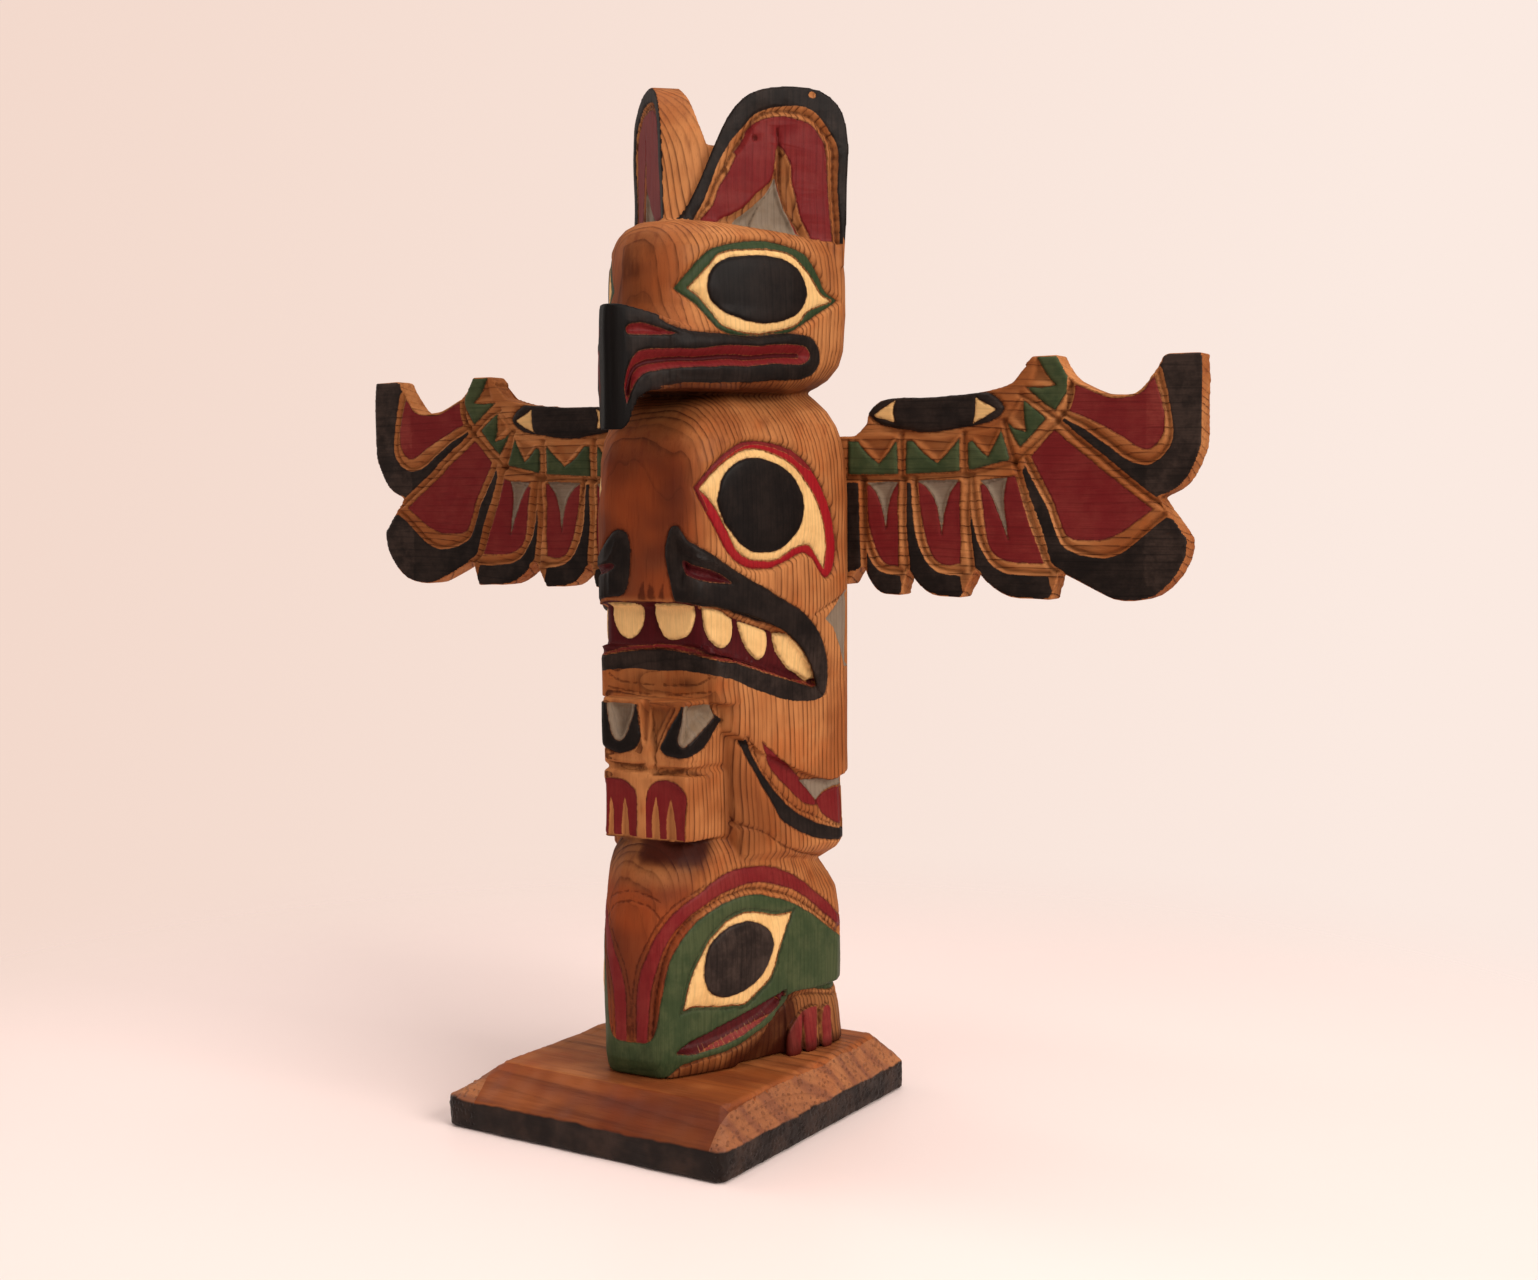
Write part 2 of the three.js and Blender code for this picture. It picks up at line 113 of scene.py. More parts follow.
class Carving:
    """A surface laid out flat: where each of its points lies in the pattern, how far it
    is cut down or left standing, and how far it is inside each paint."""

    def __init__(self, across, up, live, left):
        self.across = across + unsteady(across, up, 14, 0.2, 3) + unsteady(across, up, 4, 0.09, 5)
        self.up = up + unsteady(across, up, 14, 0.2, 4) + unsteady(across, up, 4, 0.09, 6)
        self.live = live
        self.left = left
        self.height = np.zeros(len(across))
        self.knife = np.full(len(across), FAR)
        self.stain = np.full(len(across), -FAR)
        self.worn = np.full(len(across), 0.3)
        # painted shade in corners and under overhangs, with gathered grime
        self.soot = np.zeros(len(across))
        self.paint = {name: np.full(len(across), -FAR) for name in PAINTS}

    def near(self, line):
        (x0, y0), (x1, y1) = line.min(0) - FAR, line.max(0) + FAR
        return np.nonzero(self.live & (self.across > x0) & (self.across < x1)
                          & (self.up > y0) & (self.up < y1))[0]

    def inside(self, points, steps=5):
        """Distance inside a closed outline, negative outside it."""
        line = smooth_line(points, True, steps)
        found = self.near(line)
        x, y = self.across[found], self.up[found]
        gap = np.full(len(found), np.inf)
        within = np.zeros(len(found), bool)
        for a, b in zip(line, np.roll(line, -1, 0)):
            run, rise = b - a
            length = max(run * run + rise * rise, 1e-9)
            s = np.clip(((x - a[0]) * run + (y - a[1]) * rise) / length, 0, 1)
            gap = np.minimum(gap, (x - a[0] - s * run) ** 2 + (y - a[1] - s * rise) ** 2)
            if rise:
                between = (a[1] > y) != (b[1] > y)
                within ^= between & (x < a[0] + run * (y - a[1]) / rise)
        field = np.full(len(self.across), -FAR)
        gap = np.sqrt(gap)
        field[found] = np.where(within, gap, -gap)
        return field

    def each(self, left_points, right_points):
        """Distance inside the outline drawn for a point's own side."""
        return np.where(self.left, self.inside(left_points), self.inside(right_points))

    def along(self, points):
        """Distance from a line, and how far along it the nearest point is."""
        line = smooth_line(points)
        found = self.near(line)
        x, y = self.across[found], self.up[found]
        gap = np.full(len(found), np.inf)
        place = np.zeros(len(found))
        walked = 0.0
        for a, b in zip(line[:-1], line[1:]):
            run, rise = b - a
            length = math.hypot(run, rise)
            s = np.clip(((x - a[0]) * run + (y - a[1]) * rise) / max(length**2, 1e-9), 0, 1)
            g = (x - a[0] - s * run) ** 2 + (y - a[1] - s * rise) ** 2
            place = np.where(g < gap, walked + s * length, place)
            gap = np.minimum(gap, g)
            walked += length
        distance = np.full(len(self.across), FAR)
        distance[found] = np.sqrt(gap)
        step = np.zeros(len(self.across))
        step[found] = place
        return distance, step

    def strip(self, field, keep=None):
        """Bare wood inside a field, or every paint but one taken off it."""
        for name in PAINTS:
            if name != keep:
                self.paint[name] = np.minimum(self.paint[name], -field)

    def lay(self, name, field):
        self.strip(field, name)
        self.paint[name] = np.maximum(self.paint[name], field)

    def wear(self, field, amount):
        self.worn = np.where(field > -0.3, amount, self.worn)

    def blot(self, field):
        self.stain = np.maximum(self.stain, field)

    def darken(self, points, share, where=True):
        """Painted shade in corners and under overhangs, with the oil and dust gathered there."""
        dark = share * ease((self.inside(points) + 4) / 8)
        self.soot = np.maximum(self.soot, np.where(where, dark, 0))

    def sink(self, field, depth, slope):
        self.height -= depth * ease(field / slope)

    def swell(self, field, rise, slope):
        self.height += rise * np.sqrt(1 - (1 - np.clip(field / slope, 0, 1)) ** 2)

    def cut(self, distance, depth, width):
        """A V that reaches width to either side of its line."""
        self.height -= depth * np.clip(1 - distance / width, 0, 1)

    def mark(self, distance):
        """The dark line along a cut: the shade in its crevice, painted."""
        self.knife = np.minimum(self.knife, distance)

    def scratch(self, points, depth=0.12):
        distance = self.along(points)[0]
        self.cut(distance, depth, 0.6)
        self.mark(distance)

    def score(self, field, width, depth):
        """A knife line along the edge of a field."""
        self.cut(np.abs(field), depth, width / 2)
        self.mark(np.abs(field))

    def panel(self, name, field, sunk, slope, width, depth):
        """A painted field, sunk a little and scored round its edge."""
        self.lay(name, field)
        self.sink(field, sunk, slope)
        self.score(field, width, depth)

    def groove(self, points, width, depth, nick=0.0, pitch=2.6, bare=False, where=True, dark=True):
        """A V cut along a line, with the slanting nicks of the knife along it."""
        distance, step = self.along(points)
        distance = np.where(where, distance, FAR)
        wedge = np.clip(1 - distance / (width / 2), 0, 1)
        self.height -= depth * wedge
        if nick:
            slant = (step + 1.2 * np.sign(wedge) * distance) / pitch
            tooth = np.abs((slant + unsteady(step, distance, 9, 0.2, 8)) % 1 - 0.5) * 2
            self.height -= nick * (1 - tooth) ** 2 * np.sqrt(wedge)
        if bare:
            self.strip(width / 2 - distance)
        # the groove's crevice gets a painted shade line
        if dark:
            self.mark(distance)


# ---- the figures -----------------------------------------------------------

def eye(c, rim, white, pupil, colour, rise=1.0, sunk=0.7, faded=0.2):
    """A painted rim, a domed white inside it and a raised black oval."""
    edge = c.inside(rim)
    lens = c.inside(white)
    oval = c.inside(pupil)
    c.sink(edge + 1.6, sunk, 1.6)
    c.lay(colour, edge)
    c.strip(np.minimum(lens + 0.35, 0.3 - lens))
    c.lay("cream", lens)
    c.lay("black", oval)
    c.wear(lens, 0.6)
    c.wear(oval, faded)
    c.swell(lens, rise, 9)
    c.sink(lens, 0.35, 0.7)
    c.swell(oval, 0.35, 1.2)
    c.score(edge, 1.4, 0.45)
    c.score(lens, 1.2, 0.45)
    c.score(oval, 0.9, 0.2)


def bird(c, y):
    """The bird at the top: an eye on each side of a beak with a long open mouth."""
    eye(
        c,
        [(26.5, 250.5, 1), (32, 255.4), (40.5, 262), (53.5, 265.6), (68, 265.6), (79.5, 262.5),
         (85, 256.2), (88, 252.3), (93.6, 249.6, 1), (85.5, 245.6), (76.5, 241), (70, 238.4),
         (57, 237.2), (44, 239), (36, 245.4)],
        [(31.8, 250.8, 1), (38.6, 256), (44.4, 261), (57, 263), (71.5, 262.3), (79.9, 257.4),
         (85.2, 251.6), (90.6, 249.4, 1), (80.4, 246.2), (75.4, 241.8), (67.5, 239.6), (56, 238.7),
         (45, 240.6), (38.8, 246.4)],
        [(39.3, 251), (41.2, 257), (47.5, 260.2), (58, 261.3), (68.5, 260.6), (76, 257.6),
         (79.4, 252), (77.6, 246.8), (71, 242.8), (60, 241.5), (48.4, 243), (41.2, 247)],
        "green",
    )
    lips = c.inside([
        (-6, 247), (3.5, 245), (11.7, 243.6), (22.7, 240.4), (28, 238.9), (35, 238), (57, 237.8),
        (74, 238.8), (81.2, 237.8), (84.4, 234.4), (84.7, 230.8), (82.6, 227.6), (78, 225.9),
        (68, 224.9), (53, 223.9), (43, 223.6), (33, 223.4), (24, 222.4), (16, 221.4), (12.2, 219),
        (10.6, 214.6), (6.5, 211.2), (2.8, 209), (-6, 208),
    ])
    lips = np.where((c.up < 226) & (c.across > 20), lips * 3, lips)
    lips = np.where((y < -36.9) & (c.up < 246.2) & (c.up > 205), 2.0, lips)
    c.lay("black", lips)
    side = np.minimum(lips, (c.across - 24) / 3)
    c.swell(np.minimum(side, 3), 0.6, 2.2)
    c.score(np.where((c.across > 8) & (c.up > 222), lips, FAR), 1.3, 0.4)
    mouth = c.inside([
        (8.2, 216.6, 1), (10.2, 221.2), (12.9, 224.6), (17, 226.4), (26, 227.2), (35, 227.9),
        (48, 228.4), (62, 229.4), (74, 229.7), (78.6, 230.8), (79.7, 232.9), (77.6, 235.2),
        (72, 235.5), (60, 234.8), (45, 234.1), (34, 233.2), (22, 232.7), (13.4, 232.1),
        (10.2, 229.8), (8.2, 226.2), (7.5, 221.5),
    ])
    c.lay("red", mouth)
    bottom = c.along([
        (8.6, 219.6), (10.8, 226.4), (17, 229.2), (34, 230.2), (55, 231.3), (76, 232.4),
    ])[0]
    within = np.clip(mouth, 0, FAR)
    c.height -= 2.6 * np.minimum(within / (within + bottom + 0.01), 0.92)
    c.score(mouth, 1.0, 0.2)
    c.lay("maroon", np.minimum(mouth, 0.7 - bottom))
    nostril = c.inside([
        (8.2, 238.2), (9.4, 239.5), (12.5, 239.9), (16, 239.5), (21, 238.4), (27.2, 237, 1),
        (20, 236.6), (12, 236.7), (8.8, 237),
    ])
    c.panel("red", nostril, 1.5, 0.9, 1.0, 0.2)


TEETH = [
    [(19.2, 158.4, 1), (32.6, 158.4, 1), (33.2, 155.6), (31.8, 152), (29.6, 149.5), (26, 148.2),
     (22.6, 149), (20.2, 152.2), (19, 156)],
    [(35.8, 157.8, 1), (43.2, 156.9), (48.4, 154.4, 1), (48.8, 150.8), (47.6, 147.4),
     (44.6, 146.1), (41, 147.7), (37.4, 152)],
    [(50.4, 153.6, 1), (56.3, 152.3), (62.6, 150.3, 1), (62.8, 146.5), (61.4, 143), (58.6, 142.3),
     (55, 144.5), (52, 149)],
    [(64.8, 149.6, 1), (70.6, 147.8), (75.1, 144.9), (79, 140.2), (82, 134.8, 1), (79.4, 134.2),
     (75, 136.8), (69.8, 140), (66.1, 144.6)],
]


LEFT_TEETH = [
    [(20.8, 158.4, 1), (31.6, 158.4, 1), (32.2, 155.3), (31.5, 152.3), (29.2, 149.1),
     (26.2, 148.2), (22.7, 151), (21, 154.7)],
    [(38.4, 157.2, 1), (44.6, 156.4), (49, 154.2, 1), (49, 150.8), (47.8, 147.4), (45, 146.1),
     (42, 147.7), (39.2, 152)],
]


def bear(c):
    """The bear: shaded eyes, a snout, and a wide mouth with a row of teeth."""
    left = c.left
    eye(
        c,
        [(33, 193.2, 1), (38.2, 197.6), (48.5, 205.2), (59, 207), (70, 205.6), (80.4, 199.8),
         (87.4, 190.6), (91.4, 181.4), (92.4, 173.4), (90.6, 167.6), (87.8, 165.8), (85, 167.8),
         (82, 171.3), (77.6, 173.5), (71, 171.4), (62, 169), (53, 170.1), (46, 174.8), (40.4, 183),
         (36, 189)],
        [(35.4, 192.9, 1), (42, 198.3), (50.6, 203.3), (60, 204.2), (70, 201.6), (79.4, 194.4),
         (85.4, 185), (88, 175.4), (87, 168.6, 1), (83.6, 172.6), (80.2, 175.9), (74.6, 175.4),
         (66, 171.9), (57.4, 171.8), (50.6, 174.7), (45, 182.5), (40, 189.4)],
        [(42, 190.4), (44.4, 196.6), (50.4, 200.8), (58.6, 201.8), (67.4, 199.8), (74.6, 194.8),
         (77.4, 188), (75.2, 181.4), (69.6, 175.8), (61.6, 173.7), (53.6, 175.2), (47, 180.6),
         (43, 186.4)],
        "scarlet", rise=1.3,
    )
    shade = c.inside([
        (30, 193.2, 1), (37, 199.4), (47.6, 207.4), (59, 209.6), (73, 208), (84, 200), (80, 198.4),
        (70, 203.9), (59, 205.7), (49.4, 204), (39.6, 197), (35, 192.8, 1), (39, 186.6, 1),
        (36, 184, 1),
    ])
    c.lay("red", np.minimum(shade, c.paint["scarlet"]))
    c.blot(0.5 - np.hypot(c.across - 77.6, c.up - 176.6))
    nose = [
        (22.4, 173), (22.8, 178), (24.4, 181.7), (27, 181.9), (30.2, 178.6), (35, 176),
        (48, 169.6),
    ]
    left_nose = [
        (20.5, 165.4), (19.9, 171.4), (20, 176), (21.2, 179.9), (24.2, 180.9), (28.3, 178.4),
        (33, 174.6), (40, 171.6), (48, 168.6),
    ]
    cheek = [
        (60, 163.9), (71, 158.6), (79, 154.4), (84.6, 148.4), (87.4, 141.4), (88, 133.8),
        (86.4, 130),
    ]
    inner = [(82.6, 133), (80.4, 138), (76, 144.8), (71, 148.6), (59, 153.6), (43, 157.8)]
    lips = c.inside(nose + cheek + [
        (81.6, 128.4), (75, 128.7), (66, 130.4), (55, 134), (43, 137.9), (33, 139), (20, 138.9),
        (5, 139), (5, 146.8), (20, 146.6), (25, 148, 1), (26, 159.6, 1), (24.4, 165),
    ])
    upper = c.each(
        left_nose + cheek + inner + [(34, 159.8), (28, 160.8), (24, 161.1), (21.8, 162.5)],
        nose + cheek + inner + [(34, 159.4), (26, 160), (24.2, 165)])
    c.lay("black", np.where(left & (c.up > 148), upper, lips))
    far_side = left & (c.across > 28) & (c.up < 169.5)
    c.swell(np.where(far_side, -FAR, np.minimum(upper, 3)), 0.5, 2.4)
    c.score(upper, 1.5, 0.5)
    mouth = c.inside([
        (5, 159.4), (22, 159.4), (28.4, 159.6), (34.6, 158.8), (43, 157.4), (51, 155.4),
        (59, 153.2), (65.8, 151), (71.4, 148.2), (75.9, 144.8), (79, 140.6), (81.3, 136.6),
        (82.6, 133, 1), (80.5, 132.7), (70.2, 135.6), (56.6, 139.4), (43.6, 142.4), (32, 144.2),
        (20, 145.4), (5, 145.6),
    ])
    c.wear(np.where(c.up < 147, lips, -FAR), 0.6)
    c.lay("maroon", mouth)
    c.sink(mouth, 1.1, 1.2)
    below = c.up < np.interp(c.across, [5, 28, 43, 59, 71, 78, 82],
                             [148, 147.6, 145, 141.8, 138, 135.4, 134])
    c.sink(np.where(below, mouth, -FAR), 0.5, 1.0)
    c.lay("red", np.where(below, np.minimum(mouth - 0.25, 0.85 - mouth), -FAR))
    strip = np.minimum(mouth, 1.3 - mouth)
    strip = np.where((c.up > 146) | (c.up > 134 + (82 - c.across) * 0.9), strip, -FAR)
    c.strip(np.where(c.across > 34, strip, -FAR))
    for left_tooth, tooth in zip(LEFT_TEETH + TEETH[2:], TEETH):
        field = c.each(left_tooth, tooth)
        c.lay("cream", field)
        c.swell(field, 0.9, 1.4)
        c.score(field, 0.8, 0.3)
        c.wear(field, 0.6)
    c.score(mouth, 1.0, 0.3)
    nostril = c.inside([
        (24.4, 176.4), (26.2, 179.4), (29.6, 176.6), (34, 173.8), (31, 168.6), (29, 163.6),
        (26.4, 166), (24.6, 171),
    ])
    c.sink(np.where(left, -FAR, nostril), 1.2, 2.6)
    slit = c.each(
        [(25.2, 170.4), (27.2, 171), (31.4, 170.4), (38, 168.9), (43.8, 166.8), (46.4, 165.2, 1),
         (40, 165.6), (33, 167.6), (27.4, 168.8)],
        [(28.4, 172.2), (32, 171), (38, 169.3), (43.8, 167.2), (47.4, 165.2, 1), (41, 165.2),
         (33, 166.9), (29.8, 168.5), (28.6, 170)])
    c.panel("maroon", slit, 1.6, 1.1, 0.9, 0.3)
    c.groove([(27.6, 175.6), (34, 172.8), (42, 170.2), (49, 166.2)], 1.5, -0.5, where=~left)
    c.groove([(24.2, 177.7), (25.5, 174.5), (27.3, 172), (31.1, 170.3)], 1.5, -0.4, where=left)
    c.scratch([(38.7, 137.6), (34.5, 135.2), (28.1, 134.8), (22.6, 134.7)])
    c.scratch([(39, 133.2), (30.4, 132.1), (23.6, 131.7)])
    for mark in ([(12, 160.6, 1), (12, 166.4), (14.6, 165.4), (15.4, 163), (15.8, 160.6, 1)],
                 [(16.3, 160.6, 1), (16.8, 163.6), (17.7, 166, 1), (18.5, 163.6), (19, 160.6, 1)],
                 [(20.2, 160.6, 1), (20.8, 163.2), (21.6, 165, 1), (22, 163), (22.4, 160.6, 1)]):
        c.blot(np.where(left, -FAR, c.inside(mark)))
    mark = c.inside([(12, 160.6, 1), (12, 166), (15.6, 165.6, 1), (16.6, 163.6), (17.2, 160.6, 1)])
    c.blot(np.where(left, mark, -FAR))
    patch = c.inside([
        (99, 162, 1), (95.4, 160.6), (91.4, 157.4), (87, 153.4, 1), (90.4, 149.6), (93.4, 144),
        (95.6, 138, 1), (104, 136, 1), (104, 164, 1),
    ])
    c.lay("grey", patch)
    c.sink(patch, 1.2, 1.6)
    c.groove([(82.6, 154.8), (87.4, 156.8), (92, 158.8), (99, 162.4)], 1.8, 0.7)


def paws(c):
    """Two raised paws: black cups above, a wrist line and red fingers with bare slits."""
    left = c.left
    valley = c.inside([
        (14, 131, 1), (26.4, 131, 1), (23.6, 124), (20.6, 118.6), (19, 115), (18.6, 111.6, 1),
        (16.6, 113, 1), (14, 120, 1),
    ])
    c.sink(np.where(left, -FAR, valley), 1.9, 4.0)
    c.groove([(24.9, 128.6), (21.8, 122.6), (19.3, 118.1), (18.2, 115.4), (18.5, 111)], 1.9, 0.9,
             0.2, 3, where=~left)
    ridge = c.along([(14.4, 128.4), (16, 124), (17.6, 119.4), (18.4, 116)])[0]
    c.cut(np.where(left, FAR, ridge), 0.8, 1.1)
    c.mark(np.where(left, FAR, ridge + 0.1))
    cup = c.each(
        [(31.6, 131, 1), (31.8, 121), (31, 116.8), (26.6, 115.2), (23.5, 114.5), (19.6, 115.4),
         (16.9, 117.6), (15.9, 120.9), (16.5, 124.6), (16.9, 127.6), (17.1, 131, 1)],
        [(27.8, 131, 1), (27.2, 128.4), (24.7, 124.8), (22.1, 120.1), (20.1, 116.9), (22, 114.9),
         (26.9, 114.3), (30.8, 114.7), (36.2, 116.7), (40.2, 120.1), (43.8, 124.6, 1),
         (41, 126.2, 1), (38, 131, 1)])
    hollow = c.each(
        [(27.4, 131, 1), (26.3, 123.6), (25.3, 119.6), (23.4, 118.3), (21.4, 119.3), (19.4, 123),
         (17.9, 127.3), (17.6, 131, 1)],
        [(28.9, 131, 1), (28.1, 125), (27.3, 121.7), (26.9, 119.1), (28.6, 117.4), (30, 118.5),
         (34.4, 121.7), (40.6, 126, 1), (38, 131, 1)])
    c.lay("black", cup)
    c.lay("grey", hollow)
    c.sink(hollow, 3.1, 3.4)
    c.swell(np.minimum(cup, 2), 0.6, 1.6)
    c.score(cup, 1.2, 0.4)
    c.score(hollow, 0.9, 0.35)
    c.wear(cup, 0.15)
    # the darker faded grey in the hollow is painted shade
    c.wear(hollow, 0.9)
    edge = c.along([(30, 117.7), (35.4, 121.9), (41.6, 126.2)])[0]
    c.cut(np.where(left, FAR, edge), -0.5, 0.7)
    left_wrist = [(28.9, 111.5), (24.3, 111), (18.8, 110.7), (14.4, 111.6)]
    right_wrist = [(17.6, 109.4), (22.5, 110.1), (27.4, 110.3), (32.7, 109.7), (38.4, 108.8)]
    wrist = np.where(left, c.along(left_wrist)[0], c.along(right_wrist)[0])
    c.cut(wrist, 1.1, 1.5)
    c.mark(wrist)
    above = np.where(left, c.along([(28, 113.8), (18, 113.4)])[0],
                     c.along([(19, 112.6), (26, 113), (34, 112.4)])[0])
    c.cut(above, 0.4, 1.0)
    knuckle = c.each(
        [(14, 111.2), (16.4, 111.4), (20.2, 110), (18.9, 108.4), (16.4, 106.9), (14, 107)],
        [(14, 110.8), (17.2, 110.2), (18.4, 109), (16.8, 107.4), (14, 107)])
    c.sink(knuckle, 0.25, 1.6)
    fingers = c.each(
        [(32, 84, 1), (32, 104.6, 1), (30.3, 106.4), (25, 107.1), (22.2, 106.9), (19.5, 105.3),
         (17.6, 103.4), (17.4, 96.6), (18.1, 84, 1)],
        [(14.9, 84, 1), (14.8, 96), (15.4, 102.6), (16.6, 105.2), (18.6, 106.8), (21.9, 107.6),
         (25.3, 106.9), (27.9, 105), (29.2, 103.2), (28.9, 96), (29.1, 84, 1)])
    c.panel("red", fingers, 0.5, 1.0, 0.9, 0.2)
    for left_slit, right_slit in (
            ([(28.1, 84, 1), (27.6, 94), (26.9, 101.6, 1), (26.1, 97.5), (25.8, 84, 1)],
             [(17.5, 84, 1), (17.3, 95.4), (18.5, 102.2, 1), (19.5, 95.6), (19.8, 84, 1)]),
            ([(22.9, 84, 1), (22.7, 94.5), (22, 101.6, 1), (21, 97.9), (20.3, 84, 1)],
             [(22.5, 84, 1), (22.3, 95.8), (23.8, 102.4, 1), (24.9, 96), (25.6, 84, 1)])):
        slit = c.each(left_slit, right_slit)
        c.strip(slit + 0.1)
        c.sink(slit + 0.3, 0.4, 1.0)


def thigh(c):
    """The bear's bent leg, to the side of the paws."""
    band = c.inside([
        (49.4, 119.8, 1), (50.2, 117.6), (55.2, 110.4), (60.5, 103.4), (64.6, 97.8), (67.4, 93.8),
        (72.3, 90.4), (80, 86.8), (88, 84.4), (104, 82.4, 1), (104, 86, 1), (95.8, 86.8),
        (88, 88.9), (80, 91.7), (72.4, 95.8), (66.9, 100.2), (62.4, 105.2), (57, 111.6),
        (53.6, 117), (52, 120.6, 1),
    ])
    c.lay("black", band)
    c.score(band, 1.2, 0.4)
    upper = c.inside([
        (59.4, 117.4, 1), (65.5, 113.2), (71.6, 108.4), (76.5, 104.6), (80.4, 100.4),
        (84, 95.7, 1), (79.6, 96.3), (74.4, 99.4), (68.8, 103.9), (63.3, 109.2),
    ])
    lower = c.inside([
        (83.2, 97.2, 1), (87, 99.4), (93.1, 100.4), (104, 98, 1), (104, 87, 1), (96, 87.9),
        (90, 90.4), (85, 93.9),
    ])
    wedge = c.inside([
        (76.2, 104.2, 1), (85, 103.4), (104, 102.6, 1), (104, 98.6, 1), (93, 101), (87, 99.8),
        (83.2, 97.3, 1), (80.6, 99.9),
    ])
    for name, field in (("red", upper), ("red", lower), ("grey", wedge)):
        c.panel(name, field, 0.6, 1.0, 1.0, 0.3)
    c.groove([
        (53.4, 119.5), (58.6, 111.4), (64.6, 104.2), (70.2, 98.9), (76.4, 95), (83.5, 92.2),
        (90, 89.3), (100, 86.6),
    ], 1.9, 0.6, 0.35, 2.2)
    c.groove([(46.9, 93.2), (53.3, 92.3), (59.4, 90.4), (65.8, 86.5), (75.5, 81.8), (86.2, 77.8)],
             2.0, 0.5, 0.2, 3.4)
    c.scratch([(34.9, 104.6), (38, 108.5), (39.9, 112.9), (41.2, 117), (41.7, 120.2)])
    c.scratch([(43.2, 100.6), (46.5, 96), (50.8, 91.3)])


